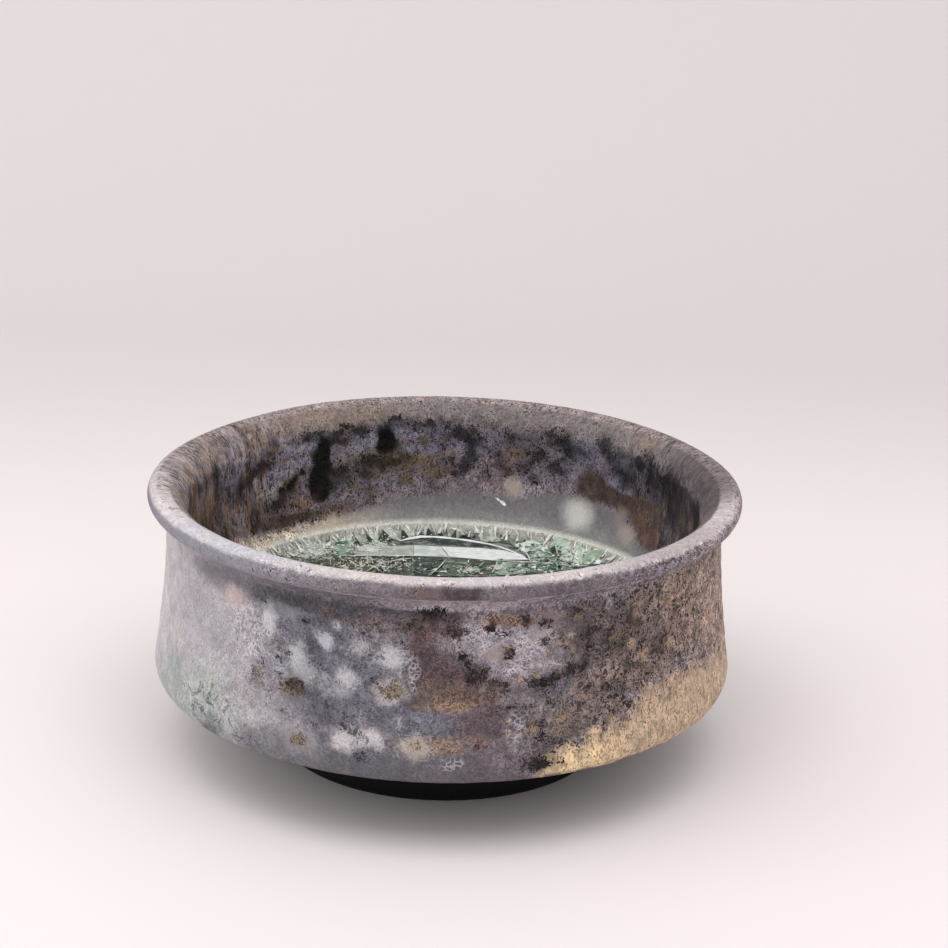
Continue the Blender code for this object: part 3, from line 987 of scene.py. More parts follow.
def cells(seeds, reach):
    """For each seed the area nearer to it than to any other, inside a circle."""
    seeds = np.asarray(seeds)
    for at in seeds:
        square = ((-1, -1), (1, -1), (1, 1), (-1, 1))
        polygon = [(at[0] + CELL_REACH * x, at[1] + CELL_REACH * y) for x, y in square]
        order = np.argsort(np.hypot(*(seeds - at).T))[1 : NEIGHBOURS + 1]
        for other in seeds[order]:
            polygon = clip(polygon, (at + other) / 2, other - at)
        for angle in np.linspace(0, 2 * math.pi, 90, endpoint=False):
            normal = (math.cos(angle), math.sin(angle))
            if at[0] * normal[0] + at[1] * normal[1] > reach - 8:
                polygon = clip(polygon, (reach * normal[0], reach * normal[1]), normal)
        if len(polygon) > 2:
            yield at, polygon


class Shards:
    """Closed flat splinters of glass, with worn white edges."""

    def __init__(self, seed):
        self.random = np.random.default_rng(seed)
        self.points, self.faces, self.colours = [], [], []
        self.grain = 1.0
        self.plates = []

    def level(self, x, y):
        """The height of the glass here, or of the splinter that covers it."""
        height = glass_height(math.hypot(x, y))
        for outline, plane in self.plates:
            ends = outline[1:] + outline[:1]
            pairs = zip(outline, ends)
            if all((b[0] - a[0]) * (y - a[1]) > (b[1] - a[1]) * (x - a[0]) for a, b in pairs):
                height = max(height, float(np.dot(plane, (x, y, 1))))
        return height

    def ring(self, corners, colour):
        first = len(self.points)
        self.points += [tuple(corner) for corner in corners]
        self.colours += [tuple(colour) + (self.grain,)] * len(corners)
        return list(range(first, first + len(corners)))

    def band(self, above, below):
        count = len(above)
        for k in range(count):
            j = (k + 1) % count
            self.faces.append((above[k], below[k], below[j], above[j]))

    def add(self, corners, colour, edge, thick=0.5, rim=0.16, drop=0.12):
        """A splinter whose upper face has these corners, anticlockwise seen from above."""
        corners = np.asarray(corners, float)
        middle = corners.mean(0)
        away = corners - middle
        far = np.hypot(away[:, 0], away[:, 1])[:, None]
        inner = corners - away / far * np.minimum(rim, far * 0.4)
        low = corners - (0, 0, drop)
        top = self.ring(inner, tone(colour))
        seam = self.ring(inner + (0, 0, -0.01), tone(edge))
        lip = self.ring(low, tone(edge))
        base = self.ring(low - (0, 0, thick), tone(colour) * 0.4)
        self.faces.append(tuple(top))
        self.band(top, seam)
        self.band(seam, lip)
        self.band(lip, base)
        self.faces.append(tuple(base[::-1]))


# The greens of the broken glass, and how often each comes
GREENS = (
    ((52, 74, 62), 0.16),
    ((74, 100, 84), 0.2),
    ((96, 124, 104), 0.22),
    ((126, 152, 132), 0.16),
    ((160, 184, 164), 0.1),
    ((90, 108, 76), 0.1),
    ((186, 204, 190), 0.06),
)
CRACK_WHITE = (214, 224, 216)
# Radius and spacing of the rings of cells, deep in the glass and at its surface
BED_RINGS = (
    (4, 4.0), (8, 4.0), (12, 3.9), (15.6, 3.6), (19, 3.5), (22.3, 3.3), (25.4, 3.0), (28.2, 2.6), (30.4, 2.1),
)
WEB_RINGS = ((3, 3.4), (7, 3.4), (11, 3.3), (15, 3.1), (19, 2.9), (23, 2.7), (27, 2.4), (30, 2.1))
# How far from the axis the cells, the hairline cracks and the chips go
BED_REACH = 31.2
WEB_REACH = 31.6
CHIP_REACH = 33.2


def lifted(angle, out, height):
    """A point from its angle, its distance from the axis and its height."""
    return (out * math.cos(angle), out * math.sin(angle), height)


def ring_seeds(random, rings, sideways, outward):
    """Uneven places all along rings about the axis. The last two values are shares of the spacing."""
    seeds = []
    for radius, spacing in rings:
        count = int(round(2 * math.pi * radius / spacing))
        turn = random.random() * 6.28
        for k in range(count):
            angle = turn + 2 * math.pi * (k + random.uniform(-sideways, sideways)) / count
            out = radius + random.uniform(-outward, outward) * spacing
            seeds.append((out * math.cos(angle), out * math.sin(angle)))
    return seeds


def fill_bed(shards):
    """Cells of broken glass all over the pool, millimetres down at the middle and shallow at the edge."""
    random = shards.random
    seeds = [(0.6, -0.4)] + ring_seeds(random, BED_RINGS, 0.33, 0.34)
    greens, odds = zip(*GREENS)
    for at, polygon in cells(seeds, BED_REACH):
        out = math.hypot(*at)
        depth = np.interp(out, (0, 15, 24, 29, 31), (4.2, 2.6, 1.3, 0.9, 0.6)) * random.uniform(0.7, 1.25)
        lean = random.uniform(-0.4, 0.4, 2)
        corners = []
        for x, y in polygon:
            height = POOL_LEVEL - depth + (x - at[0]) * lean[0] + (y - at[1]) * lean[1]
            corners.append((x, y, min(height, POOL_LEVEL - 0.3)))
        green = greens[random.choice(len(greens), p=odds)]
        colour = np.array(green, float) * random.uniform(0.85, 1.12)
        olive = math.exp(-(((at[0] + 13) / 7) ** 2) - ((at[1] - 20) / 7) ** 2)
        colour = colour * (1 - olive) + np.array((104, 104, 58)) * olive
        vivid = math.exp(-(((at[0] - 19) / 7) ** 2) - ((at[1] - 22) / 7) ** 2)
        colour = colour * (1 - 0.6 * vivid) + np.array((104, 160, 124)) * 0.6 * vivid
        edge = CRACK_WHITE if random.random() < 0.5 else colour * 0.7
        shards.add(corners, colour, edge, 1.2, random.uniform(0.08, 0.2), random.uniform(0.1, 0.4))


# Where small chips lie thickest: place, half spread, count, share of white ones, largest size
CHIPS = (
    ((22, 25.5), (3.6, 3.0), 240, 0.5, 0.6),
    ((17, 24), (3.0, 3.0), 90, 0.4, 0.6),
    ((13.5, 28), (2.6, 1.6), 70, 0.45, 0.6),
    ((15, 21), (4.0, 2.6), 70, 0.25, 0.8),
    ((10, 19.5), (2.2, 2.2), 40, 0.4, 0.5),
    ((-16.6, 26.2), (1.4, 2.2), 60, 0.3, 0.6),
    ((-20.4, 24.4), (2.2, 1.4), 150, 0.5, 0.45),
    ((-19, 26.6), (1.8, 1.2), 80, 0.5, 0.45),
    ((-12.6, 26.8), (2.6, 1.2), 130, 0.6, 0.4),
    ((-22, 23), (4.0, 3.0), 90, 0.15, 0.8),
    ((3, 18), (8.0, 3.0), 60, 0.15, 0.9),
    ((0, -22), (20, 7), 90, 0.3, 0.9),
    ((-22, -6), (6, 12), 60, 0.3, 0.9),
    ((22, -6), (6, 12), 60, 0.3, 0.9),
)


def fill_chips(shards):
    """Small pointed chips at the surface, dark, green and white."""
    random = shards.random
    colours = ((34, 52, 42), (62, 92, 72), (96, 136, 108), (128, 150, 126), (164, 182, 164), (92, 90, 60))
    for (x, y), spread, count, white, largest in CHIPS:
        for _ in range(count):
            at = np.array((x + random.normal() * spread[0] * 0.6, y + random.normal() * spread[1] * 0.6))
            if math.hypot(*at) > CHIP_REACH:
                continue
            turn, size = random.random() * 6.28, random.uniform(0.2, largest)
            corners = []
            for part in (0, 1, 2):
                angle = turn + part * 2.1 + random.uniform(-0.5, 0.5)
                far = size * random.uniform(0.5, 1.3)
                px, py = at + far * np.array((math.cos(angle), math.sin(angle)))
                corners.append((px, py, shards.level(px, py) + 0.05))
            pick = (226, 232, 226) if random.random() < white else colours[random.integers(len(colours))]
            colour = np.array(pick, float) * random.uniform(0.85, 1.05)
            edge = CRACK_WHITE if random.random() < 0.4 else colour * 0.7
            shards.add(anticlockwise(corners), np.minimum(colour, 236), edge, 0.15, 0.04, 0.02)


def fill_web(shards):
    """Hairline cracks that reach the surface of the glass, so that their white lines lie on it."""
    random = shards.random
    for at, polygon in cells(ring_seeds(random, WEB_RINGS, 0.4, 0.45), WEB_REACH):
        # The large bright faces, which are painted reflection, stay whole
        if -15 < at[0] < 11 and 23.5 < at[1] < 30.5:
            continue
        for a, b in zip(polygon, polygon[1:] + polygon[:1]):
            if random.random() < 0.6:
                continue
            start, end = np.array(a), np.array(b)
            length = math.hypot(*(end - start))
            if length < 0.5:
                continue
            way = (end - start) / length
            share = random.uniform(0.5, 1.0)
            end = start + (end - start) * share
            side = np.array((-way[1], way[0])) * random.uniform(0.02, 0.06) * (1 + 1.2 * abs(way[0]))
            corners = []
            for x, y in (start + side, start - side, end - side * 0.4, end + side * 0.4):
                corners.append((x, y, glass_height(math.hypot(x, y)) + 0.012))
            pale = np.array(CRACK_WHITE, float) * random.uniform(0.55, 1.05)
            shards.add(corners, pale, pale, 0.1, 0.02, 0.01)


# How many teeth and standing splinters the glass's edge has
EDGE_TEETH = 150
EDGE_SPLINTERS = 420


def fill_edge(shards):
    """A saw-toothed ring where the glass runs out against the wall: dark teeth at the back, else pale."""
    random = shards.random
    count = EDGE_TEETH
    inner, outer = [], []
    for k in range(count):
        angle = 2 * math.pi * (k + random.uniform(-0.42, 0.42)) / count
        out = 31.9 + random.uniform(-0.8, 0.4)
        inner.append((angle, out, glass_height(out) - 0.1))
        angle = 2 * math.pi * (k + 0.5 + random.uniform(-0.42, 0.42)) / count
        height = POOL_LEVEL + random.uniform(0.4, 1.5)
        out = bowl_radius_at(BOWL_RADIUS, BOWL_TOP - FLOOR_LEVEL, height) - 0.12
        outer.append((angle, out, min(height, glass_height(out) + 0.1)))
    # Pale splinters that stand on the climbing edge
    shards.grain = 0.8
    for k in range(EDGE_SPLINTERS):
        if random.random() < 0.15:
            continue
        angle = 2 * math.pi * (k + random.uniform(-0.4, 0.4)) / EDGE_SPLINTERS
        near, far = random.uniform(32.3, 33.3), random.uniform(33.7, 34.5)
        wide, lean = random.uniform(0.004, 0.012), random.uniform(-0.03, 0.03)
        top, flip = (near, far) if random.random() < 0.5 else (far, near)
        ends = ((angle - wide, top), (angle + wide, top), (angle + lean, flip))
        corners = [lifted(a, r, glass_height(r) + 0.04) for a, r in ends]
        colour = np.array((214, 214, 204), float) * random.uniform(0.66, 1.08)
        edge = (230, 232, 226) if random.random() < 0.5 else colour * 0.7
        shards.add(anticlockwise(corners), np.minimum(colour, 232), np.minimum(edge, 232), 0.12, 0.04, 0.02)
    shards.grain = 1.0
    for k in range(count):
        j = (k + 1) % count
        back = math.exp(-(((math.degrees(inner[k][0]) - 98) / 20) ** 4))
        teeth = ((inner[k], outer[k], inner[j]), (inner[j], outer[k], outer[j]))
        for n, tooth in enumerate(teeth):
            corners = [lifted(*corner) for corner in tooth[::-1]]
            dark = random.random() < (0.12 + 0.62 * back if n == 0 else 0.05)
            colour = np.array((34, 50, 42) if dark else (164, 174, 160), float) * random.uniform(0.75, 1.15)
            edge = CRACK_WHITE if random.random() < 0.4 else colour
            shards.add(corners, np.minimum(colour, 236), np.minimum(edge, 236), 0.35, 0.07, 0.04)


# Large splinters that show in the photograph: colour, how far under the surface, how uneven, and the
# corners seen from above
# Some of these are painted reflection: pale faces and a dark face that stand for light and the dark back wall
# mirrored in the glass's surface
SPLINTERS = (
    # Painted reflection, these first three: pale faces that stand for the light mirrored in the glass's
    # surface
    ((160, 168, 160), -0.02, 1.2, (
        (-14.0, 27.1), (-11.1, 27.6), (-5.2, 28.7), (-5.1, 24.1), (-10.5, 23.7), (-14.2, 23.5),
    )),
    ((200, 210, 202), -0.03, 0.8, (
        (-5.1, 28.7), (-0.9, 28.4), (0.3, 24.3), (-5.0, 24.1),
    )),
    ((222, 229, 224), -0.03, 0.6, (
        (-0.8, 28.4), (5.6, 28.0), (9.0, 27.3), (11.9, 25.4), (12.9, 23.4), (6.9, 22.9), (0.5, 24.2),
    )),
    ((128, 152, 130), 0.05, 1.3, (
        (-18.1, 27.8), (-16.7, 28.9), (-14.6, 29.3), (-14.6, 26.2), (-15.9, 23.1), (-17.4, 24.2),
    )),
    # A painted reflection: a dark face that stands for the cup's dark back wall mirrored in the glass's
    # surface
    ((26, 44, 35), -0.01, 0.6, (
        (-5.3, 30.0), (-4.1, 30.9), (-1.6, 31.4), (2.6, 31.0), (6.9, 29.4), (9.4, 27.6), (6.0, 28.2),
        (1.0, 28.9), (-3.2, 29.0), (-4.9, 29.2),
    )),
    ((108, 104, 62), 0.60, 1.3, (
        (-16.6, 21.9), (-14.6, 22.5), (-9.8, 22.3), (-9.6, 20.6), (-12.2, 16.3), (-15.5, 16.9),
        (-16.5, 18.9),
    )),
    ((70, 66, 44), 0.40, 1.2, (
        (-9.7, 22.4), (-5.1, 23.1), (-5.1, 20.9), (-10.6, 17.0),
    )),
    ((96, 106, 90), 0.30, 1.3, (
        (-9.5, 19.4), (-5.1, 20.6), (-4.8, 15.4), (-9.3, 15.1),
    )),
    ((80, 104, 86), 0.50, 1.0, (
        (-5.0, 22.7), (-1.4, 23.3), (0.2, 23.1), (-1.7, 17.0), (-2.9, 15.6), (-4.9, 17.4),
    )),
    ((122, 142, 112), 0.50, 1.0, (
        (0.3, 23.1), (3.6, 22.9), (2.8, 15.9), (-1.2, 15.3),
    )),
    ((100, 112, 80), 0.50, 1.0, (
        (3.6, 22.9), (8.1, 22.4), (6.9, 15.9), (2.8, 15.9),
    )),
    ((184, 206, 188), 0.10, 0.7, (
        (8.1, 22.2), (12.2, 22.1), (12.4, 17.4), (8.1, 16.3),
    )),
    ((150, 180, 158), 0.02, 1.0, (
        (12.5, 26.2), (14.8, 27.7), (15.2, 23.5), (13.2, 22.6),
    )),
    ((88, 138, 106), 0.10, 1.2, (
        (14.9, 28.2), (17.3, 25.4), (19.2, 20.2), (15.9, 20.0), (15.3, 23.5),
    )),
    ((96, 146, 114), 0.20, 1.2, (
        (12.5, 22.1), (15.1, 22.7), (18.8, 19.6), (15.5, 18.2), (12.6, 17.8),
    )),
    ((168, 186, 166), 0.02, 1.0, (
        (19.7, 22.6), (20.7, 27.5), (22.4, 28.5), (20.9, 22.1),
    )),
    ((140, 162, 140), 0.02, 1.0, (
        (21.0, 22.1), (22.5, 28.4), (24.0, 27.1), (24.7, 24.2), (23.4, 22.1),
    )),
    ((184, 196, 180), 0.02, 0.8, (
        (24.1, 27.0), (25.4, 26.0), (26.3, 23.1), (24.9, 23.0),
    )),
    ((56, 72, 62), 0.10, 1.0, (
        (19.0, 21.0), (23.4, 22.0), (24.6, 21.4), (19.6, 18.5),
    )),
    ((196, 208, 194), 0.00, 0.7, (
        (10.7, 29.9), (13.6, 30.3), (16.1, 28.4), (14.8, 27.8), (12.3, 26.7),
    )),
    ((164, 182, 162), 0.02, 0.9, (
        (16.6, 30.2), (19.1, 29.2), (19.6, 24.6), (17.4, 26.1),
    )),
)
# Bright open cracks, the first of them a painted highlight: how far under the surface, half width, and the
# line
CRACKS = (
    # A painted highlight: the thin bright arc where light glints on the glass's climbing edge
    (-0.04, 0.22, (
        (-7.5, 30.3), (-5.0, 31.7), (-0.8, 32.0), (3.9, 31.1), (7.7, 29.4), (10.6, 26.6), (12.3, 24.7),
    )),
    (-0.04, 0.12, ((-15.9, 23.1), (-5.2, 23.9), (0.5, 23.8), (6.9, 22.8), (14.7, 22.2))),
    (-0.02, 0.07, ((-0.9, 28.4), (0.0, 26.4), (0.4, 24.2))),
    (-0.02, 0.06, ((0.1, 22.8), (-0.9, 19.2), (-2.2, 15.6))),
    (-0.02, 0.06, ((3.6, 22.8), (3.4, 20.0), (2.8, 16.6))),
    (-0.02, 0.06, ((8.0, 22.4), (7.7, 19.6), (6.9, 16.0))),
    (-0.03, 0.06, ((-5.1, 28.9), (-5.1, 23.8))),
    (-0.02, 0.07, ((15.0, 27.9), (17.4, 25.0), (19.6, 19.8))),
    (-0.02, 0.07, ((12.4, 22.2), (15.2, 22.8), (19.4, 24.4))),
    (-0.02, 0.09, ((19.5, 23.0), (20.6, 27.8), (22.6, 28.7), (24.6, 26.8), (25.9, 23.4))),
    (-0.02, 0.08, ((22.5, 28.4), (21.6, 24.6), (20.9, 21.8))),
    (-0.02, 0.08, ((24.1, 27.0), (24.7, 25.2), (24.8, 22.6))),
    (-0.02, 0.08, ((10.8, 29.8), (12.4, 26.8), (13.2, 22.6))),
    (-0.02, 0.06, ((-12.1, 16.4), (-9.6, 20.4), (-5.1, 22.9))),
)
# The direct light bends at the glass, so what lies below it is seen nearer than it is
SINK_SHIFT = 0.8


def anticlockwise(corners):
    """The corners in the order that makes their face look up."""
    area = sum(a[0] * b[1] - b[0] * a[1] for a, b in zip(corners, corners[1:] + corners[:1]))
    return corners if area > 0 else corners[::-1]


def fill_splinters(shards):
    """The large splinters and the open cracks between them, with painted reflection and a painted highlight
    among them.
    """
    random = shards.random
    for colour, depth, uneven, outline in SPLINTERS:
        outline = anticlockwise(list(outline))
        corners = []
        for x, y in outline:
            back = y + SINK_SHIFT * max(depth, 0)
            corners.append((x, back, glass_height(math.hypot(x, back)) - depth))
        shards.grain = uneven
        shards.add(corners, colour, CRACK_WHITE, 0.25, 0.09, 0.04)
        if depth < 0.15:
            spots = np.array(corners)
            flat = np.column_stack([spots[:, :2], np.ones(len(spots))])
            plane = np.linalg.lstsq(flat, spots[:, 2], rcond=None)[0]
            shards.plates.append((outline, plane))
    shards.grain = 0.3
    for depth, half, line in CRACKS:
        line = np.asarray(line, float)
        line = smooth_through(line, 13) if len(line) > 2 else line
        size = random.uniform(0.55, 1.3, len(line))
        size[[0, -1]] = 0.25
        way = np.gradient(line, axis=0)
        side = np.stack([-way[:, 1], way[:, 0]], 1) / np.hypot(*way.T)[:, None] * half * size[:, None]
        for k in range(len(line) - 1):
            j = k + 1
            corners = []
            for x, y in (line[k] - side[k], line[j] - side[j], line[j] + side[j], line[k] + side[k]):
                corners.append((x, y, glass_height(math.hypot(x, y)) - depth))
            shards.add(corners, (226, 234, 228), (226, 234, 228), 0.12, 0.02, 0.01)
    shards.grain = 1.0


def smooth_through(line, count):
    """A smoother line through the same points."""
    run = np.concatenate([[0], np.cumsum(np.hypot(*np.diff(line, axis=0).T))])
    at = np.linspace(0, run[-1], count)
    tangent = np.gradient(line, run, axis=0)
    points = []
    for s in at:
        k = min(int(np.searchsorted(run, s, side="right")) - 1, len(line) - 2)
        width = run[k + 1] - run[k]
        t = (s - run[k]) / width
        a, b = line[k], line[k + 1]
        points.append(
            (2 * t**3 - 3 * t**2 + 1) * a
            + (t**3 - 2 * t**2 + t) * width * tangent[k]
            + (-2 * t**3 + 3 * t**2) * b
            + (t**3 - t**2) * width * tangent[k + 1]
        )
    return np.array(points)


def make_crackle():
    shards = Shards(31)
    fill_bed(shards)
    fill_edge(shards)
    fill_splinters(shards)
    fill_chips(shards)
    fill_web(shards)
    piece = make_object("pool_crackle", shards.points, shards.faces, crackle_material(), False)
    store(piece.data, "ground", "FLOAT_COLOR", shards.colours)
    return piece


# Clusters of frosty needles: place, spread, count
FROST = (
    ((-20.2, 24.8), 1.3, 170),
    ((-22.2, 23.2), 1.4, 100),
    ((-25.0, 22.8), 1.0, 70),
    ((-12.4, 26.4), 1.1, 150),
    ((-10.6, 28.6), 0.9, 60),
    ((-9.0, 31.6), 1.0, 60),
    ((-15.6, 31.2), 0.9, 50),
    ((3.7, 18.0), 0.8, 50),
    ((7.8, 19.4), 0.7, 30),
    ((15.0, 25.0), 0.6, 24),
    ((19.0, 27.0), 0.7, 60),
    ((19.0, 23.4), 0.6, 40),
    ((25.4, 24.6), 0.6, 40),
    ((-13.6, 19.6), 2.4, 150),
    ((-7.6, 20.4), 2.0, 70),
    ((-2.0, -24.0), 1.8, 60),
    ((22.0, -14.0), 1.5, 50),
)
# How many needles lie on the edge, and how many hairs stand up the wall
EDGE_NEEDLES = 420
WALL_HAIRS = 520


class Needles:
    """Thin four-sided needles."""

    def __init__(self):
        self.points, self.faces = [], []

    def add(self, base, way, length, thick):
        way = way / np.linalg.norm(way)
        side = np.cross(way, (0, 0, 1))
        side /= np.linalg.norm(side)
        rise = np.cross(side, way)
        first = len(self.points)
        self.points += [base + side * thick, base - side * thick]
        self.points += [base + rise * thick * 1.6, base + way * length]
        self.faces += [(first, first + 1, first + 3), (first + 1, first + 2, first + 3)]
        self.faces += [(first + 2, first, first + 3), (first, first + 2, first + 1)]


def make_frost():
    """White needles in clusters, all round the edge, and up the wall."""
    random = np.random.default_rng(5)
    needles = Needles()
    starts = []
    for (x, y), spread, count in FROST:
        for _ in range(count):
            starts.append((x + random.normal() * spread, y + random.normal() * spread * 0.8, 1.0))
    for _ in range(EDGE_NEEDLES):
        angle = random.random() * 2 * math.pi
        out = random.uniform(32.4, 34.1)
        starts.append((out * math.cos(angle), out * math.sin(angle), 0.7))
    for x, y, size in starts:
        out = math.hypot(x, y)
        if out > 34.3:
            continue
        height = glass_height(min(out, 33.9)) + max(0, out - 33.9) * 2
        way = np.array((random.normal(), random.normal(), 0.25 * random.normal() + 0.1))
        way /= np.linalg.norm(way)
        length = random.uniform(0.3, 1.1) * size
        base = np.array((x, y, height + 0.08)) - way * length / 2
        needles.add(base, way, length, random.uniform(0.05, 0.11) * size)
    # Longer hairs stand up the wall from the edge of the glass
    depth = BOWL_TOP - FLOOR_LEVEL
    for _ in range(WALL_HAIRS):
        angle = random.random() * 2 * math.pi
        low = POOL_LEVEL + random.uniform(0.9, 2.4)
        high = low + random.uniform(0.25, 0.8)
        turn = angle + random.normal() * 0.022
        feet = [bowl_radius_at(BOWL_RADIUS, depth, h) - 0.04 for h in (low, high)]
        base = np.array((feet[0] * math.cos(angle), feet[0] * math.sin(angle), low))
        tip = np.array((feet[1] * math.cos(turn), feet[1] * math.sin(turn), high))
        needles.add(base, tip - base, float(np.linalg.norm(tip - base)), random.uniform(0.02, 0.045))
    return make_object("pool_frost", needles.points, needles.faces, frost_material(), False)


# Materials


class Net:
    """Short calls that add nodes to a new material."""

    def __init__(self, name):
        self.material = bpy.data.materials.new(name)
        self.material.use_nodes = True
        self.nodes = self.material.node_tree.nodes
        self.links = self.material.node_tree.links
        self.shader = self.nodes["Principled BSDF"]
        self.output = self.nodes["Material Output"]

    def put(self, socket, value):
        if isinstance(value, bpy.types.NodeSocket):
            self.links.new(value, socket)
        else:
            socket.default_value = value

    def surface(self, values):
        """Sets sockets of the shader by their names."""
        for name, value in values.items():
            self.put(self.shader.inputs[name], value)
        return self.material

    def node(self, kind, inputs, out=0, **settings):
        """Adds a node and gives one of its outputs."""
        node = self.nodes.new("ShaderNode" + kind)
        for name, value in settings.items():
            setattr(node, name, value)
        for key, value in inputs.items():
            self.put(node.inputs[key], value)
        return node.outputs[out]

    def math(self, kind, a, b=0.0, clamp=False):
        return self.node("Math", {0: a, 1: b}, operation=kind, use_clamp=clamp)

    def times(self, a, b):
        return self.math("MULTIPLY", a, b)

    def plus(self, a, b):
        return self.math("ADD", a, b)

    def minus(self, a, b):
        return self.math("SUBTRACT", a, b)

    def mix(self, amount, a, b, blend="MIX"):
        return self.node("Mix", {0: amount, 6: a, 7: b}, 2, data_type="RGBA", blend_type=blend)

    def lerp(self, amount, a, b):
        return self.node("Mix", {0: amount, 2: a, 3: b})

    def ease(self, value, low, high, to_low=0.0, to_high=1.0):
        inputs = dict(enumerate((value, low, high, to_low, to_high)))
        return self.node("MapRange", inputs, interpolation_type="SMOOTHSTEP")

    def noise(self, vector, size, detail=2.0, rough=0.5, distortion=0.0, out=0):
        inputs = {"Vector": vector, "Scale": 1 / size, "Detail": detail}
        inputs.update({"Roughness": rough, "Distortion": distortion})
        return self.node("TexNoise", inputs, out)

    def scale(self, vector, by):
        return self.node("VectorMath", {0: vector, 1: by}, operation="MULTIPLY")

    def stretch(self, colour, by):
        return self.node("VectorMath", {0: colour, "Scale": by}, operation="SCALE")

    def shift(self, vector, by):
        return self.node("VectorMath", {0: vector, 1: by}, operation="ADD")

    def borders(self, vector, size):
        """How far a point is from the nearest border between cells of a size."""
        inputs = {"Vector": vector, "Scale": 1 / size}
        return self.node("TexVoronoi", inputs, "Distance", feature="DISTANCE_TO_EDGE")

    def bent(self, vector, size, by):
        """The same place, pushed about by noise of a size."""
        return self.shift(vector, self.scale(self.noise(vector, size, out=1), (by, by, by)))

    def attribute(self, name):
        node = self.nodes.new("ShaderNodeAttribute")
        node.attribute_name = name
        return node.outputs

    def split(self, colour):
        node = self.nodes.new("ShaderNodeSeparateColor")
        self.put(node.inputs[0], colour)
        return node.outputs

    def place(self):
        """The place on the object, in millimetres."""
        node = self.nodes.new("ShaderNodeTexCoord")
        return self.scale(node.outputs["Object"], (1000, 1000, 1000))

    def wide(self, value, by):
        """Stretches a value about its middle, 0.5."""
        return self.math("ADD", self.times(self.minus(value, 0.5), by), 0.5, True)

    def ridge(self, value, steep):
        """1 along the value's middle, falling off to both sides."""
        off = self.math("ABSOLUTE", self.minus(value, 0.5))
        return self.math("SUBTRACT", 1.0, self.times(off, steep), True)

    def bump(self, height, strength, distance):
        inputs = {"Strength": strength, "Distance": distance * MM, "Height": height}
        return self.node("Bump", inputs)


def glaze_material():
    """Each place has a mean colour, which fine pale threads over dark gaps share out between them."""
    net = Net("wood_fired_glaze")
    lie = net.attribute("lie")["Vector"]
    ground = net.attribute("ground")["Color"]
    marks = net.attribute("marks")
    grain = net.attribute("grain")
    stipple, frost, fur = net.split(grain["Color"])[:3]
    gloss = grain["Alpha"]
    lace, crackle, hue = net.split(net.attribute("webs")["Color"])[:3]

    # Threads curl on the open walls and are combed into hairs where the ash ran
    even = net.noise(lie, 0.68, 3.0, 0.62, 1.0)
    combed = net.noise(net.scale(lie, (1, 1, 0.22)), 0.6, 3.0, 0.62, 0.9)
    worm = net.ridge(net.lerp(fur, even, combed), 12.0)
    fine = net.wide(net.noise(lie, 0.2, 2.0, 0.6), 2.2)
    thread = net.ease(net.plus(net.times(worm, 0.8), net.times(fine, 0.3)), 0.1, 0.82)
    blotch = net.wide(net.noise(net.scale(lie, (1, 1, 0.8)), 1.5, 4.0, 0.66, 0.6), 2.9)
    share = net.times(net.lerp(thread, 0.12, 2.35), net.lerp(blotch, 0.5, 1.6))
    # Small dark pits, more of them in some places
    pit = net.ease(net.noise(lie, 0.6, 2.0, 0.6, 0.4), 0.6, 0.7)
    pit = net.times(pit, net.ease(net.noise(lie, 4.0, 2.0), 0.42, 0.6))
    share = net.times(share, net.lerp(pit, 1.0, 0.3))
    level = net.lerp(stipple, 1.0, share)
    tilt = net.ease(net.noise(lie, 1.6, 3.0, 0.62, 0.8), 0.36, 0.64)
    tilt = net.lerp(0.4, tilt, thread)
    warm = net.mix(tilt, (0.82, 0.93, 1.16, 1), (1.18, 1.0, 0.82, 1))
    warm = net.mix(hue, (1, 1, 1, 1), warm)
    colour = net.mix(1.0, net.stretch(ground, level), warm, "MULTIPLY")

    # Milky clouds with a web of finer white
    clouds = net.ease(net.noise(lie, 1.9, 4.0, 0.64), 0.4, 0.66)
    web = net.ridge(net.noise(lie, 0.5, 3.0, 0.66, 1.2), 8.0)
    white = net.times(net.plus(net.times(web, 0.8), 0.1), net.plus(clouds, 0.1))
    white = net.math("MULTIPLY", white, frost, True)
    colour = net.mix(white, colour, (0.46, 0.46, 0.51, 1))

    # Stains and drips: their edges break up with the same threads
    torn = net.times(net.minus(blotch, 0.5), 0.8)
    torn = net.minus(torn, net.times(net.minus(thread, 0.4), 0.5))
    torn = net.times(torn, net.lerp(gloss, 1.2, 0.1))
    edge = net.ease(net.plus(net.times(marks["Alpha"], 1.2), torn), 0.3, 0.75)
    stain = net.stretch(marks["Color"], net.lerp(thread, 0.5, 1.8))
    colour = net.mix(edge, colour, stain)

    # White lace and dark crackle
    line = net.ease(net.borders(lie, 0.62), 0.02, 0.2, 1.0, 0.0)
    line = net.times(net.times(line, lace), net.ease(net.noise(lie, 0.9, 2.0), 0.38, 0.58))
    colour = net.mix(net.times(line, 0.75), colour, (0.55, 0.54, 0.59, 1))
    bent = net.scale(net.noise(lie, 2.2, out=1), (3, 3, 3))
    bent = net.shift(net.scale(lie, (1, 1, 0.55)), bent)
    crease = net.ease(net.borders(bent, 1.9), 0.0, 0.09, 1.0, 0.0)
    crease = net.times(crease, net.ease(net.noise(lie, 1.1, 2.0), 0.44, 0.58))
    crease = net.times(crease, crackle)
    colour = net.mix(net.times(crease, 0.85), colour, (0.05, 0.06, 0.06, 1))

    height = net.plus(net.times(thread, 0.9), net.times(web, 0.2))
    height = net.minus(net.times(height, net.minus(1.05, gloss)), crease)
    return net.surface({
        "Base Color": colour,
        "Roughness": net.plus(net.lerp(gloss, 0.68, 0.16), net.times(fine, 0.06)),
        "Specular IOR Level": GLAZE_SHINE,
        "Normal": net.bump(height, 0.5, 0.09),
    })


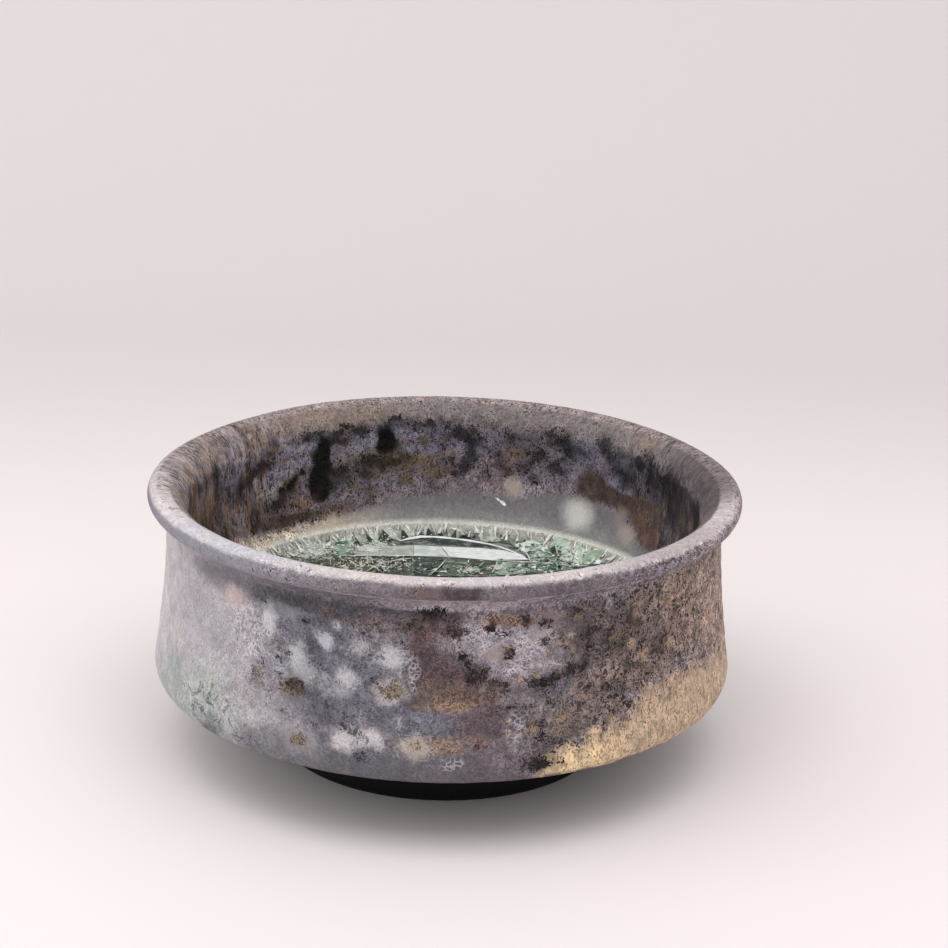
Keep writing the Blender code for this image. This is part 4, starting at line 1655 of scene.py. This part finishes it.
def glass_material():
    """Clear glass that takes its green from its depth."""
    net = Net("pool_glass")
    absorb = net.nodes.new("ShaderNodeVolumeAbsorption")
    absorb.inputs["Color"].default_value = (0.42, 0.74, 0.55, 1)
    absorb.inputs["Density"].default_value = 70.0
    net.links.new(absorb.outputs[0], net.output.inputs["Volume"])
    clear = {"Base Color": (1, 1, 1, 1), "Roughness": 0.0, "IOR": 1.5, "Transmission Weight": 1.0}
    return net.surface(clear)


def crackle_material():
    """Broken faces in the glass: each shard has its own tint, crossed by streaks and fine white cracks."""
    net = Net("crackle")
    tint = net.attribute("ground")
    place = net.place()
    streak = net.wide(net.noise(net.scale(place, (0.3, 1.0, 1.0)), 0.55, 4.0, 0.68, 0.9), 2.0)
    patch = net.wide(net.noise(place, 1.5, 3.0, 0.62), 1.8)
    level = net.plus(net.plus(net.times(streak, 0.8), net.times(patch, 0.6)), 0.3)
    shade = net.stretch(tint["Color"], net.lerp(tint["Alpha"], 1.0, level))
    crack = net.ease(net.borders(net.bent(place, 1.5, 1.2), 1.1), 0.0, 0.05, 1.0, 0.0)
    vein = net.ridge(net.noise(place, 0.6, 3.0, 0.62, 0.8), 14.0)
    crack = net.times(net.math("MAXIMUM", crack, vein), net.ease(patch, 0.5, 0.75))
    return net.surface({
        "Base Color": net.mix(net.times(crack, 0.6), shade, (0.78, 0.84, 0.80, 1)),
        "Roughness": 0.28,
        "Specular IOR Level": 0.3,
        "Normal": net.bump(streak, 0.6, 0.15),
    })


def frost_material():
    net = Net("frost")
    patchy = net.ease(net.noise(net.place(), 1.1, 3.0), 0.35, 0.65)
    colour = net.mix(patchy, (0.62, 0.64, 0.60, 1), (0.86, 0.88, 0.85, 1))
    return net.surface({"Base Color": colour, "Roughness": 0.35})


def stage_material():
    net = Net("paper")
    return net.surface({"Base Color": net.attribute("shade")["Color"], "Roughness": 0.75})


# Light and floor


def area_light(name, place, target, size, power, colour=(1, 1, 1)):
    """A soft box. Lights are placed in metres."""
    data = bpy.data.lights.new(name, "AREA")
    data.shape = "RECTANGLE"
    data.size, data.size_y = size
    data.energy = power
    data.color = colour
    lamp = bpy.data.objects.new(name, data)
    lamp.location = place
    lamp.rotation_euler = (Vector(target) - Vector(place)).to_track_quat("-Z", "Y").to_euler()
    bpy.context.scene.collection.objects.link(lamp)
    return lamp


def add_stage():
    """A paper sweep: flat under the cup, then curving up behind it."""
    line = [(-900, 0)]
    line += [(y, 0) for y in (-400, -200, -100, 0, 60, 100, 140, 180)]
    line += arc((SWEEP_START, SWEEP_RADIUS), (SWEEP_RADIUS, SWEEP_RADIUS), -90, 0, 25).tolist()
    line += [(SWEEP_START + SWEEP_RADIUS, SWEEP_RADIUS + rise) for rise in (60, 150, 300)]
    columns = (-900, -300, 0, 300, 900)
    points = [(x * MM, y * MM, z * MM) for y, z in line for x in columns]
    wide = len(columns)
    faces = []
    for row in range(len(line) - 1):
        for k in range(wide - 1):
            at = row * wide + k
            faces.append((at, at + 1, at + wide + 1, at + wide))
    mesh = bpy.data.meshes.new("backdrop")
    mesh.from_pydata(points, [], faces)
    mesh.polygons.foreach_set("use_smooth", [True] * len(mesh.polygons))
    mesh.materials.append(stage_material())
    # The paper is a little darker behind the cup: painted shade that stands for the light falling off there
    behind = ease(np.repeat([y for y, z in line], wide), 20, 220)[:, None]
    paper = np.array((0.86, 0.81, 0.81)) * (1 - 0.22 * behind)
    store(mesh, "shade", "FLOAT_COLOR", np.column_stack([paper, np.ones(len(paper))]))
    backdrop = bpy.data.objects.new("backdrop", mesh)
    bpy.context.scene.collection.objects.link(backdrop)


def add_lights():
    """Soft boxes above and at both sides, in an evenly lit room."""
    world = bpy.data.worlds.new("studio")
    bpy.context.scene.world = world
    world.use_nodes = True
    sky = world.node_tree.nodes["Background"].inputs
    sky["Color"].default_value = (1.0, 0.975, 0.972, 1)
    sky["Strength"].default_value = 0.62
    area_light("top", (0.0, -0.32, 0.86), (0, 0, 0.02), (0.8, 0.6), 2.2, (1, 0.985, 0.985))
    area_light("left_box", (-0.5, -0.26, 0.66), (0, 0, 0.02), (0.9, 0.9), 2.5, (1, 0.985, 0.985))
    area_light("right_box", (0.46, -0.26, 0.7), (0, 0, 0.02), (0.9, 0.9), 1.5, (1, 0.985, 0.985))
    area_light("left", (-0.75, -0.12, 0.28), (0, 0, 0.03), (0.4, 0.4), 0.6)


def make_cup():
    section, inside_count = cup_section()
    skin = Skin(section, inside_count)
    paint_outside(skin)
    paint_inside(skin)
    paint_lip(skin)
    paint_under(skin)
    cup = make_object("cup", shape_skin(skin), lathe_faces(skin.rows, TURNS), glaze_material())
    one = np.ones(len(skin.z))
    grains = [skin.grain[name] for name in GRAINS]
    store(cup.data, "lie", "FLOAT_VECTOR", skin.lie)
    store(cup.data, "ground", "FLOAT_COLOR", np.column_stack([skin.ground, one]))
    store(cup.data, "marks", "FLOAT_COLOR", np.column_stack([skin.mark, skin.mark_amount]))
    store(cup.data, "grain", "FLOAT_COLOR", np.column_stack(grains[:4]))
    store(cup.data, "webs", "FLOAT_COLOR", np.column_stack(grains[4:] + [one]))
    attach(cup, "root")
    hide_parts("cup_body")


def make_glass():
    line = pool_section()
    pool = Skin(line, len(line))
    points = np.stack([pool.radius * np.sin(pool.angle), -pool.radius * np.cos(pool.angle), pool.z], 1)
    glass = make_object("pool_glass", points, lathe_faces(pool.rows, TURNS), glass_material())
    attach(glass, "root")
    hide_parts("glass_pool")


def main():
    view = bpy.context.scene.view_settings
    view.view_transform = "Standard"
    view.look = "None"
    add_camera()
    add_stage()
    add_lights()
    make_cup()
    make_glass()
    for piece in (make_crackle(), make_frost()):
        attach(piece, "root")


main()
